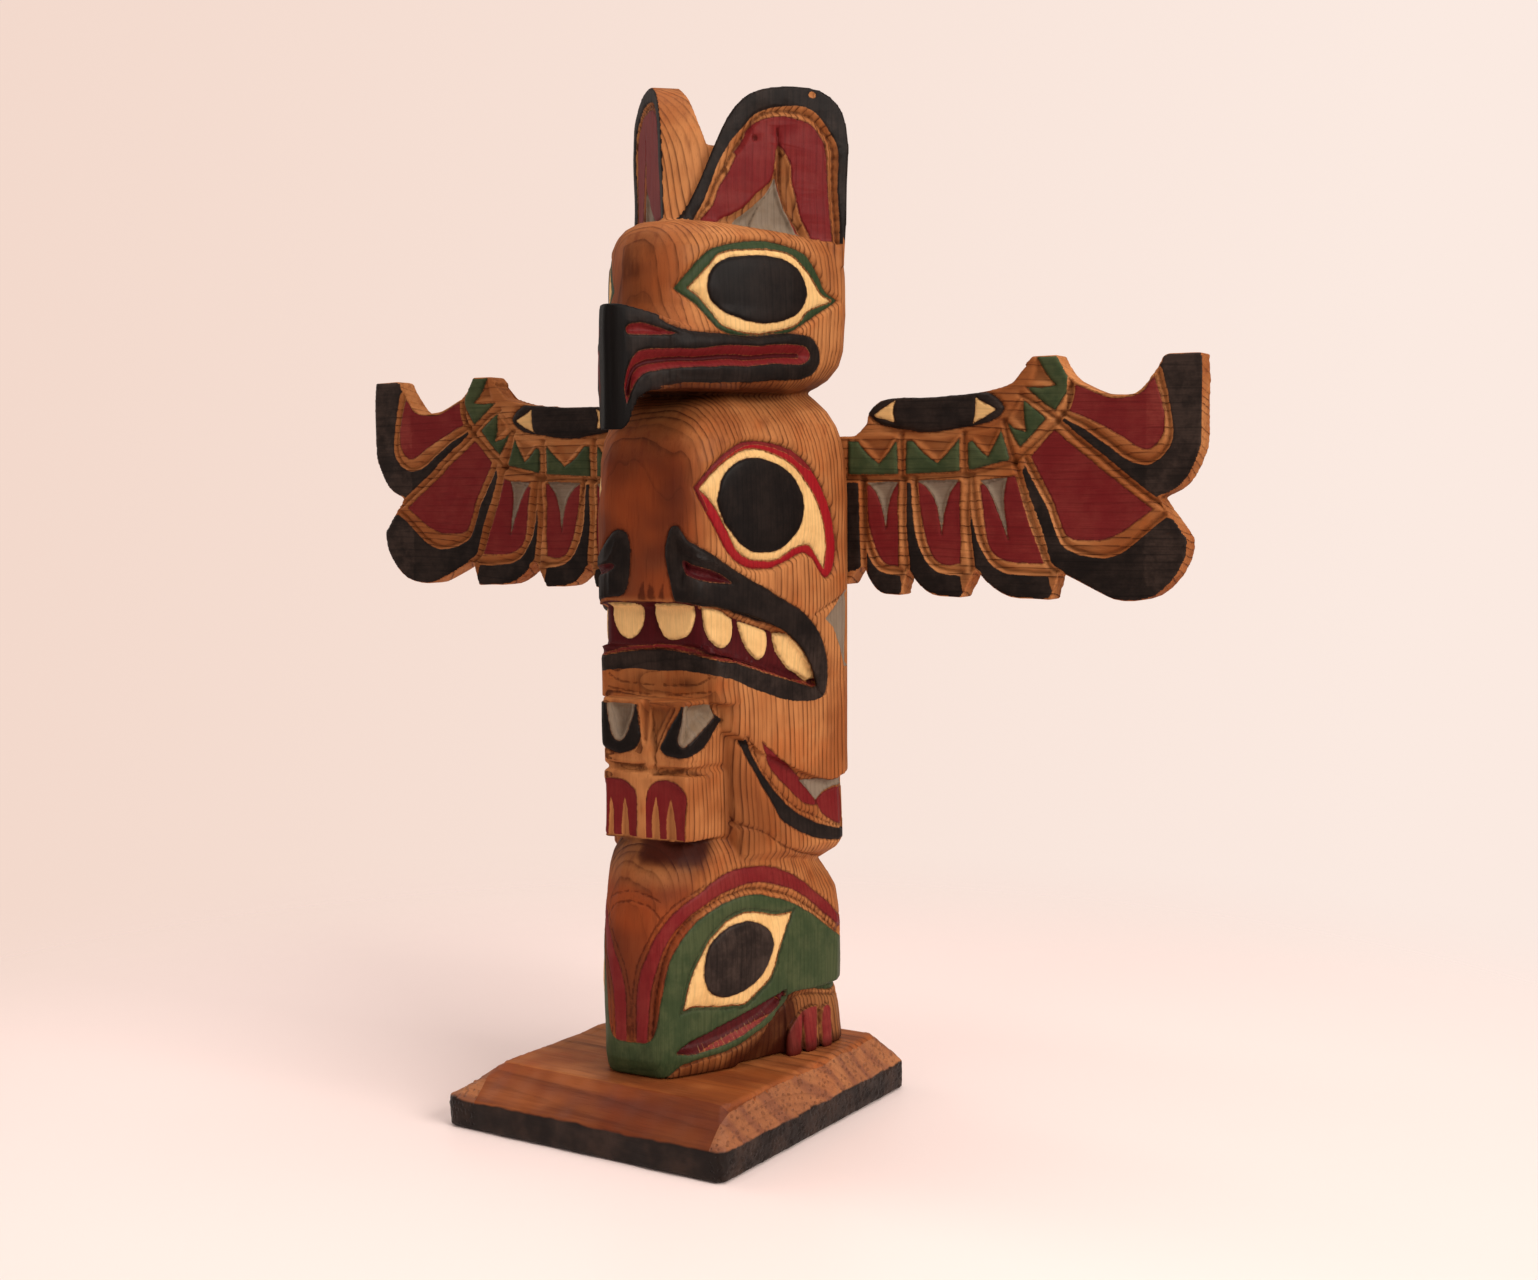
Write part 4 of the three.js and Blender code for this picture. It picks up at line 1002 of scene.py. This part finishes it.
def make_pole(material):
    piece = block("carved_pole", "pole", POLE_SKIN)
    at, way = points_and_facing(piece)
    x, y, z = at[:, 0] - POLE_X, at[:, 1] - POLE_Y, at[:, 2]
    out = np.abs(x)

    # the ears' faces, and how far the right one's edge leans out behind
    along = (out - EAR_FOOT[0]) * EAR_TURN[0] + (y - EAR_FOOT[1]) * EAR_TURN[1]
    behind = (out - EAR_FOOT[0]) * EAR_TURN[1] - (y - EAR_FOOT[1]) * EAR_TURN[0]
    facing = np.sign(x) * way[:, 0] * EAR_TURN[1] - way[:, 1] * EAR_TURN[0]
    wide = np.where(x > 0, -1.6, -1.0)
    turned = np.where(x > 0, -0.3, 0.5)
    on_ear = (z > 265) & (behind > wide) & (facing > turned) & (z > 272.4 - 0.11 * along)
    edge = np.interp(z, [272, 284, 299.3, 306.2, 310.5, 312.5],
                     [-0.2, 5.6, 12.4, 16.7, 21.8, 28.3])
    lean = np.clip((53 - along) / (53 - edge), 0, 1) * ease((z - 271) / 5)
    lean = lean * ease((along - edge + 1.6) / 1.2)
    bevel = np.where(x > 0, 0.42 * np.clip(-behind, 0, 22) * lean, 0)
    on_body = (y < POLE_BACK - 0.4) & (way[:, 1] < 0.7) & (z < BODY_TOP)
    kind = np.where(on_ear, 2.0, np.where(on_body, 1.0, 0.0))

    # a small pit between the wrists is filled
    pit = (out < 1.4) & (z > 106) & (z < 113.5) & (y < -26)
    front = np.interp(z, [109, 110.2, 111.5], [-31, -29.4, -30.8])
    at[:, 1] = np.where(pit, front + POLE_Y, at[:, 1])

    across = np.where(on_ear, along, out + ROUND_SIDE * (y - PROW))
    c = pole_patterns(x, y, across, z, kind)
    hand = unsteady(at[:, 0] - at[:, 1], z, 26, 0.16, 31)
    hand = np.where((y > POLE_BACK - 1) | (z < 20.5), 0, hand)
    at = at + bevel[:, None] * np.array([EAR_TURN[0], EAR_TURN[1], 0.0])
    move_to(piece, at + way * (c.height + hand)[:, None])
    note(piece, side=x, depth=y, across=across, up=z, kind=kind)
    thin_out(piece, POLE_FACES, c)
    x, y, across, z, kind = take_back(piece, "side", "depth", "across", "up", "kind")
    note_paint(piece, pole_patterns(x, y, across, z, np.round(kind)))
    give(piece, "pole", material)


def wing_pattern(x, z, front):
    """Both wings, the left one drawn by a hand that wandered differently."""
    c = Carving(np.abs(x), z, front, x < 0)
    c.across += np.where(c.left, unsteady(x, z, 12, 0.2, 41), 0)
    c.up += np.where(c.left, unsteady(x, z, 12, 0.2, 42), 0)
    wing(c)
    return c


def make_wings(material):
    piece = block("painted_wings", "wings", WINGS_SKIN)
    at, way = points_and_facing(piece)
    x, y, z = at.T
    front = (way[:, 1] < -0.55) & (np.abs(x) > 30)
    c = wing_pattern(x, z, front)
    hand = np.where(np.abs(x) < 40, 0, unsteady(x, z, 16, 0.1, 51))
    rim = (np.abs(way[:, 0]) > 0.6) & (np.abs(x) > 50)
    hand += np.where(rim, unsteady(z * 1.4, y * 1.6, 3.4, 0.16, 53) - 0.12, 0)
    move_to(piece, at + way * (c.height + hand)[:, None])
    note(piece, side=x, up=z, front=front)
    thin_out(piece, WINGS_FACES, c)
    x, z, front = take_back(piece, "side", "up", "front")
    note_paint(piece, wing_pattern(x, z, front > 0.5))
    give(piece, "wings", material)


def make_base(material):
    piece = block("bevelled_base", "base", BASE_SKIN)
    at, way = points_and_facing(piece)
    x, y, z = at.T
    turn = Matrix.Rotation(-BASE_TURN, 2)
    bx = (x - BASE_MIDDLE) * turn[0][0] + y * turn[0][1]
    by = (x - BASE_MIDDLE) * turn[1][0] + y * turn[1][1]
    end = (np.abs(bx) > 36) & (z > 8.6) & (np.abs(way[:, 0]) > 0.2)
    hand = unsteady(bx, by + z, 16, 0.22, 61)
    rough = unsteady(by * 1.5, z * 1.2 + bx, 2.2, 0.28, 62) * unsteady(by, z, 7, 1.0, 63)
    side = (z > 0.8) & (z < 9) & (np.abs(bx) > 48)
    height = np.where(z > 0.6, hand, 0) + np.where(end | side, rough - 0.15, 0)
    under_pole = (np.abs(x - POLE_X) < 38) & (y > -44) & (z > 18.9)
    height = np.where(under_pole, -0.05, height)
    move_to(piece, at + way * height[:, None])
    thin_out(piece, BASE_FACES)
    give(piece, "base", material)


# ---- finishes --------------------------------------------------------------

def tone(red, green, blue):
    """A colour given 0 to 255, as light."""
    def light(v):
        v /= 255
        return v / 12.92 if v <= 0.04045 else ((v + 0.055) / 1.055) ** 2.4
    return (light(red), light(green), light(blue), 1.0)


class Amount:
    """A number, colour or place that changes over a surface."""

    def __init__(self, finish, socket):
        self.finish = finish
        self.socket = socket

    def __add__(self, other):
        return self.finish.work("ADD", self, other)

    def __radd__(self, other):
        return self.finish.work("ADD", other, self)

    def __sub__(self, other):
        return self.finish.work("SUBTRACT", self, other)

    def __rsub__(self, other):
        return self.finish.work("SUBTRACT", other, self)

    def __mul__(self, other):
        return self.finish.work("MULTIPLY", self, other)

    def __truediv__(self, other):
        return self.finish.work("DIVIDE", self, other)


class Finish:
    """A material being mixed."""

    def __init__(self, name):
        self.material = bpy.data.materials.new(name)
        self.material.use_nodes = True
        self.tree = self.material.node_tree
        self.surface = self.tree.nodes["Principled BSDF"]
        self.place = self.node("TexCoord", {}, {}, "Object")

    def node(self, kind, settings, values, out=0):
        """A new node, set and filled, for what comes out of it."""
        node = self.tree.nodes.new("ShaderNode" + kind)
        for name, setting in settings.items():
            setattr(node, name, setting)
        self.fill(node, values)
        return Amount(self, node.outputs[out])

    def fill(self, node, values):
        for name, value in values.items():
            if isinstance(value, Amount):
                self.tree.links.new(value.socket, node.inputs[name])
            else:
                node.inputs[name].default_value = value

    def work(self, way, *values):
        return self.node("Math", {"operation": way}, dict(enumerate(values)))

    def blend(self, share, first, second, way="MIX"):
        settings = {"data_type": "RGBA", "blend_type": way}
        return self.node("Mix", settings, {0: share, 6: first, 7: second}, 2)

    def stretch(self, place, scale, turn=(0, 0, 0)):
        return self.node("Mapping", {}, {0: place, "Rotation": turn, "Scale": scale})

    def noise(self, place, scale, detail=2, roughness=0.5):
        values = {"Vector": place, "Scale": scale, "Detail": detail, "Roughness": roughness}
        return self.node("TexNoise", {}, values)

    def cells(self, place, scale):
        settings = {"feature": "SMOOTH_F1"}
        return self.node("TexVoronoi", settings, {"Vector": place, "Scale": scale}, "Distance")

    def ramp(self, value, *stops):
        found = self.node("ValToRGB", {}, {0: value})
        points = found.socket.node.color_ramp.elements
        while len(points) < len(stops):
            points.new(0.5)
        for point, (at, height) in zip(points, stops):
            point.position = at
            point.color = (height, height, height, 1)
        return found

    def level(self, value, low, high):
        """0 below low, 1 above high."""
        settings = {"interpolation_type": "SMOOTHSTEP"}
        return self.node("MapRange", settings, {0: value, 1: low, 2: high})

    def measure(self, name):
        return self.node("Attribute", {"attribute_name": name}, {}, "Fac")

    def split(self, place):
        first = self.node("SeparateXYZ", {}, {0: place})
        return [Amount(self, out) for out in first.socket.node.outputs]

    def hill(self, x, z, at, size, height):
        """A swelling in the growth rings, round which they show as closed lines."""
        u = (x - at[0] * MM) / (size[0] * MM)
        v = (z - at[1] * MM) / (size[1] * MM)
        return self.work("EXPONENT", (u * u + v * v) * -1.0) * (height * MM)

    def lay_on(self, colour, roughness, relief, strength, gloss, coat, coat_roughness):
        """Colour, roughness and relief, under a thin coat of oil."""
        bump = {"Strength": strength, "Distance": MM, "Height": relief}
        self.fill(self.surface, {
            "Base Color": colour, "Roughness": roughness, "Normal": self.node("Bump", {}, bump),
            "Specular IOR Level": gloss, "Coat Weight": coat, "Coat Roughness": coat_roughness,
        })
        return self.material


POLE_RING, WING_RING, BASE_RING = 0.00165, 0.0024, 0.0026  # from one growth ring to the next
LIGHT_CEDAR = tone(184, 121, 72)
DEEP_CEDAR = tone(148, 84, 43)
ORANGE_CEDAR = tone(168, 84, 34)
HEART_CEDAR = tone(130, 55, 23)
WINE_CEDAR = tone(88, 34, 20)
RING_BROWN = tone(66, 28, 12)
# the stain brown marks real stains and also paints shade in hollows, cuts and corners; the next
# darkens ring lines in that painted shade
STAIN_AND_SHADE = tone(52, 15, 4)
SHADED_GRIME = tone(20, 8, 4)
PAINT_TONES = {  # fresh and faded
    "black": (tone(16, 12, 11), tone(62, 49, 43)),
    "red": (tone(108, 22, 26), tone(132, 52, 46)),
    "maroon": (tone(66, 10, 16), tone(84, 26, 26)),
    "scarlet": (tone(146, 18, 30), tone(150, 44, 38)),
    "green": (tone(44, 60, 36), tone(70, 78, 50)),
    "cream": (tone(240, 196, 132), tone(206, 158, 98)),
    "grey": (tone(134, 118, 102), tone(122, 100, 78)),
}


def cedar(f, rings, grain, place):
    """Ring lines, fibres and colour of oiled cedar. Grain is the stretch along the fibres."""
    line = f.ramp(f.work("FRACT", rings), (0.0, 0.85), (0.08, 0.12), (0.3, 0.02), (0.6, 0.12),
                  (0.8, 0.5), (0.92, 1.0))
    each_ring = {"W": f.work("FLOOR", rings)}
    strength = f.level(f.node("TexWhiteNoise", {"noise_dimensions": "1D"}, each_ring, "Value"),
                       -0.5, 0.8)
    pulled = f.stretch(place, [0.15 if g < 1 else 1 for g in grain])
    broken = f.level(f.noise(pulled, 900), 0.25, 0.55)
    line = line * (strength * (0.45 + broken * 0.55))
    fibre = f.noise(f.stretch(place, grain), 2400, 3, 0.6)
    streak = f.noise(f.stretch(place, grain), 420)
    cloud = f.noise(place, 26, 3, 0.6)
    patch = f.noise(place, 75, 3, 0.6)
    wood = f.blend(f.level(cloud, 0.36, 0.64), LIGHT_CEDAR, DEEP_CEDAR)
    wood = f.blend(f.level(patch, 0.5, 0.72) * 0.4, wood, ORANGE_CEDAR)
    wood = f.blend(f.level(streak, 0.5, 0.78) * 0.4, wood, WINE_CEDAR)
    return wood, line, fibre, patch


def grained(f, wood, line, fibre):
    """The ring lines and dark fibres over the wood's colour."""
    wood = f.blend(line * 0.85, wood, RING_BROWN)
    return f.blend(f.level(fibre, 0.5, 0.85) * 0.45, wood, RING_BROWN)


def painted_wood(name, rings_of, grain, front_limit=None, heart=None, fading=0.0, crisp=1.0):
    """Oiled cedar, its worn paint and the dirt in its corners."""
    f = Finish(name)
    x, y, z = f.split(f.place)
    wood, line, fibre, patch = cedar(f, rings_of(f, x, y, z), grain, f.place)
    line = f.work("POWER", line, crisp)
    if heart is not None:
        share = heart(f, y, z)
        inner = f.blend(f.level(f.noise(f.place, 38), 0.4, 0.62), HEART_CEDAR, WINE_CEDAR)
        wood = f.blend(share, wood, inner)
        line = line * (1.0 - share * 0.5)
    wood = grained(f, wood, line, fibre)
    wander = f.noise(f.place, 700) - 0.5
    # wood darker along the cuts: painted shade in their crevices
    cut = 1.0 - f.level(f.measure("knife") + wander, 0.05, 0.5)
    # deeper hollows darker: painted shade, with the oil gathered in them
    hollow = f.level(f.measure("deep"), 0.3, 1.6)
    # painted shade in corners and under overhangs, with the grime gathered there
    shade_grime = f.measure("soot") * (0.7 + patch * 0.6)
    for share in (hollow * 0.4, cut * 0.55, shade_grime * 0.85):
        wood = f.blend(share, wood, STAIN_AND_SHADE)
    # ring lines darker still inside the painted shade
    wood = f.blend(shade_grime * line * 0.5, wood, SHADED_GRIME)
    stained = f.level(f.measure("stain") + wander * 1.2, -0.5, 0.5)

    ragged = (f.noise(f.place, 1500, 3) - 0.5) * 0.4
    chipped = f.level(fibre, 0.66, 0.8) * f.level(f.noise(f.place, 160), 0.5, 0.7)
    patchy = f.level(f.noise(f.place, 110, 4, 0.7), 0.35, 0.72)
    fade = (f.measure("worn") + fading) * (0.35 + patchy)
    front = 1.0 if front_limit is None else f.work("LESS_THAN", y, front_limit * MM)
    colour, cover = wood, 0.0
    for paint in PAINTS:
        share = f.level(f.measure(paint) + ragged, -0.12, 0.18) * front
        fresh, faded = PAINT_TONES[paint]
        dark = tuple(v * 0.45 for v in fresh[:3]) + (1,)
        mixed = f.blend(fade, fresh, faded)
        mixed = f.blend(line * 0.4, mixed, dark)
        mixed = f.blend(f.level(fibre, 0.3, 0.8) * 0.35, mixed, dark)
        colour = f.blend(share, colour, mixed)
        cover = f.work("MAXIMUM", cover, share)
    # over the paint: darker along the cuts as painted crevice shade, real stains, chips, and
    # painted shade with grime in corners
    for share, over in ((cut * cover * 0.4, tone(30, 16, 12)), (stained * 0.7, STAIN_AND_SHADE),
                        (chipped * cover * 0.25, wood), (f.level(shade_grime, 0.6, 1.1) * 0.7, STAIN_AND_SHADE)):
        colour = f.blend(share, colour, over)

    shine = f.noise(f.stretch(f.place, grain), 900)
    facets = f.cells(f.stretch(f.place, (1, 1, 0.6)), 120)
    bare = 1.0 - cover
    relief = fibre * -0.05 + line * (bare * 0.06) + facets * (bare * 0.35)
    relief = relief + cover * 0.06 + cut * -0.12
    return f.lay_on(colour, 0.56 + shine * 0.2 - cover * 0.14, relief, strength=0.9, gloss=0.07,
                    coat=0.02, coat_roughness=0.2)


def heartwood(f, y, z):
    """The outermost rings, on the brow, nose and snout, are darker."""
    outer = 1.0 - f.level(y, -0.0295, -0.0225)
    snout = f.level(z, 0.026, 0.034) - f.level(z, 0.074, 0.084)
    nose = f.level(z, 0.158, 0.162) * (1.0 - f.level(z, 0.211, 0.216))
    brow = f.level(z, 0.236, 0.24) * 0.6
    return outer * f.work("MAXIMUM", f.work("MAXIMUM", snout, nose), brow) * 0.9


def pole_rings(f, x, y, z):
    """Growth rings lie one behind the other, swelling where a face shows them as ovals."""
    slow = f.noise(f.stretch(f.place, (1, 1, 0.4)), 24, 1)
    quick = f.noise(f.stretch(f.place, (1, 1, 0.25)), 140, 1)
    depth = y + (slow - 0.5) * 0.007 + (quick - 0.5) * 0.0014
    for at, size, height in (((10, 200), (6, 12), 1.6), ((2, 256), (6, 7), 2.2),
                             ((6, 136), (20, 6), 4.0)):
        depth = depth + f.hill(x, z, at, size, height)
    spread = f.noise(f.stretch(f.place, (0, 1, 0)), 60, 1) * 0.004
    return (depth + spread) / POLE_RING


def wing_rings(f, x, y, z):
    """The board's rings lie one above the other, and its grain runs along it."""
    slow = f.noise(f.stretch(f.place, (0.35, 1, 1)), 30, 1)
    return (z + (slow - 0.5) * 0.012 + y * 0.25) / WING_RING


def base_finish():
    """Sawn cedar with its ends showing, and a black band round the foot."""
    f = Finish("base_cedar")
    here = f.stretch(f.place, (1, 1, 1), (0, 0, -BASE_TURN))
    x, y, z = f.split(here)
    lengthways, sideways = f.work("ABSOLUTE", x), f.work("ABSOLUTE", y)
    slow = f.noise(f.stretch(here, (0.3, 1, 1)), 20, 1)
    across, down = y + 0.03, z + 0.05
    far = f.work("SQRT", across * across + down * down) + (slow - 0.5) * 0.012
    wood, line, fibre, patch = cedar(f, far / BASE_RING, (0.04, 1, 1), here)
    bands = f.noise(f.stretch(here, (0.25, 1, 1)), 62)
    wood = f.blend(f.level(bands, 0.5, 0.62) * 0.45, wood, tone(96, 48, 30))

    ends = f.work("GREATER_THAN", lengthways, 0.0425)
    long_slope = f.work("GREATER_THAN", sideways, 0.0432)
    tint = f.blend(long_slope, (0.92, 0.80, 0.74, 1), (0.60, 0.43, 0.35, 1))
    tint = f.blend(ends, tint, (1.0, 1.0, 1.0, 1))
    wood = f.blend(ends * 0.6, wood, tone(152, 100, 68))
    wood = f.blend(1.0, wood, tint, "MULTIPLY")
    wide = f.work("SINE", (y + z * 0.6 + slow * 0.045) / 0.0019)
    wood = f.blend(f.level(wide, 0.0, 1.0) * ends * 0.5, wood, tone(104, 60, 48))
    streak = f.hill(x, z, (4, 14.8), (36, 1.7), 1000) * long_slope
    wood = f.blend(streak * 0.55, wood, tone(90, 44, 34))
    line = line * (0.85 - ends * 0.55) * (1.0 - long_slope * 0.5)
    wood = grained(f, wood, line, fibre)
    pits = f.cells(f.stretch(here, (1.6, 1, 1.4)), 520)
    grainy = (1.0 - f.level(pits, 0.12, 0.4)) * ends
    wood = f.blend(grainy * 0.3, wood, STAIN_AND_SHADE)

    side = f.work("GREATER_THAN", lengthways, 0.0495)
    wavy = (f.noise(here, 110) - 0.5) * (0.0022 + side * 0.004)
    band = 1.0 - f.level(z - BLACK_EDGE * MM + wavy, -0.0006, 0.0002)
    black = f.blend(f.level(patch, 0.4, 0.7), tone(24, 17, 14), tone(52, 38, 31))
    relief = fibre * -0.08 + grainy * -0.3 + line * 0.06
    return f.lay_on(f.blend(band, wood, black), 0.34 + fibre * 0.24, relief, strength=1.0,
                    gloss=0.12, coat=0.06, coat_roughness=0.25)


# ---- the room --------------------------------------------------------------

def camera():
    lens = bpy.data.cameras.new("viewpoint")
    lens.lens = 45.89
    lens.sensor_width = 36
    lens.clip_start = 0.01
    seen_from = bpy.data.objects.new("viewpoint", lens)
    bpy.context.scene.collection.objects.link(seen_from)
    seen_from.matrix_world = (
        Matrix.Translation((0.3149, -0.51259, 0.19245))
        @ Matrix.Rotation(math.radians(29.2), 4, "Z")
        @ Matrix.Rotation(math.radians(90 - 4.38), 4, "X")
        @ Matrix.Rotation(math.radians(-0.19), 4, "Z")
    )
    bpy.context.scene.camera = seen_from


def lamp(name, at, size, power, colour):
    """A soft panel that shines at the middle of the pole."""
    light = bpy.data.lights.new(name, "AREA")
    light.shape = "RECTANGLE"
    light.size, light.size_y = size
    light.energy = power
    light.color = colour
    thing = bpy.data.objects.new(name, light)
    bpy.context.scene.collection.objects.link(thing)
    thing.location = at
    way = Vector((0, 0, 0.15)) - Vector(at)
    thing.rotation_euler = way.to_track_quat("-Z", "Y").to_euler()


def pale_floor():
    bpy.ops.object.select_all(action="DESELECT")
    bpy.ops.mesh.primitive_circle_add(vertices=96, radius=6, fill_type="NGON",
                                      location=(0, 0, -0.0002))
    floor = bpy.context.active_object
    floor.name = "floor"
    f = Finish("pale_floor")
    x, y = f.split(f.place)[:2]
    far = f.work("SQRT", x * x + y * y)
    f.fill(f.surface, {
        "Base Color": tone(250, 231, 227), "Alpha": 1.0 - f.level(far, 0.16, 0.46),
        "Roughness": 0.35, "Specular IOR Level": 0.3,
    })
    floor.data.materials.append(f.material)


def pale_walls():
    """Soft light from all round, and a wall behind, painted a little darker to the left as shade.
    """
    sky = bpy.data.worlds.new("pale_room")
    bpy.context.scene.world = sky
    sky.use_nodes = True
    tree = sky.node_tree
    soft = tree.nodes["Background"]
    soft.inputs[0].default_value = (1.0, 0.86, 0.78, 1)
    soft.inputs[1].default_value = 0.33
    seen, toward, across, share, wall, path, both = (
        tree.nodes.new("ShaderNode" + kind) for kind in
        ("Background", "TexCoord", "VectorMath", "MapRange", "Mix", "LightPath", "MixShader"))
    seen.inputs[1].default_value = 1.0
    across.operation = "DOT_PRODUCT"
    across.inputs[1].default_value = (0.873, 0.488, 0)
    share.inputs[1].default_value = -0.36
    share.inputs[2].default_value = 0.3
    wall.data_type = "RGBA"
    wall.inputs[6].default_value = tone(243, 217, 204)
    wall.inputs[7].default_value = tone(251, 234, 225)
    for out, into in ((toward.outputs["Generated"], across.inputs[0]),
                      (across.outputs["Value"], share.inputs[0]),
                      (share.outputs[0], wall.inputs[0]), (wall.outputs[2], seen.inputs[0]),
                      (path.outputs["Is Camera Ray"], both.inputs[0]),
                      (soft.outputs[0], both.inputs[1]), (seen.outputs[0], both.inputs[2]),
                      (both.outputs[0], tree.nodes["World Output"].inputs[0])):
        tree.links.new(out, into)


camera()
pale_floor()
pale_walls()
lamp("key", (1.3, -0.35, 0.8), (0.9, 0.7), 20, (1.0, 0.94, 0.88))
lamp("top", (0.1, 0.0, 1.5), (1.2, 1.2), 12.5, (1.0, 0.95, 0.91))
lamp("left", (-1.1, -0.1, 0.5), (0.7, 0.9), 4.5, (1.0, 0.92, 0.86))
lamp("fill", (-0.3, -1.5, 0.5), (0.8, 0.6), 3, (1.0, 0.9, 0.85))
bpy.context.scene.view_settings.view_transform = "Standard"
PAINT_LIMIT = POLE_BACK + POLE_Y - 0.3  # no paint on the flat back
make_pole(painted_wood("carved_cedar", pole_rings, (1, 1, 0.04), PAINT_LIMIT, heartwood))
make_wings(painted_wood("wing_cedar", wing_rings, (0.04, 1, 1), fading=0.15, crisp=2.2))
make_base(base_finish())
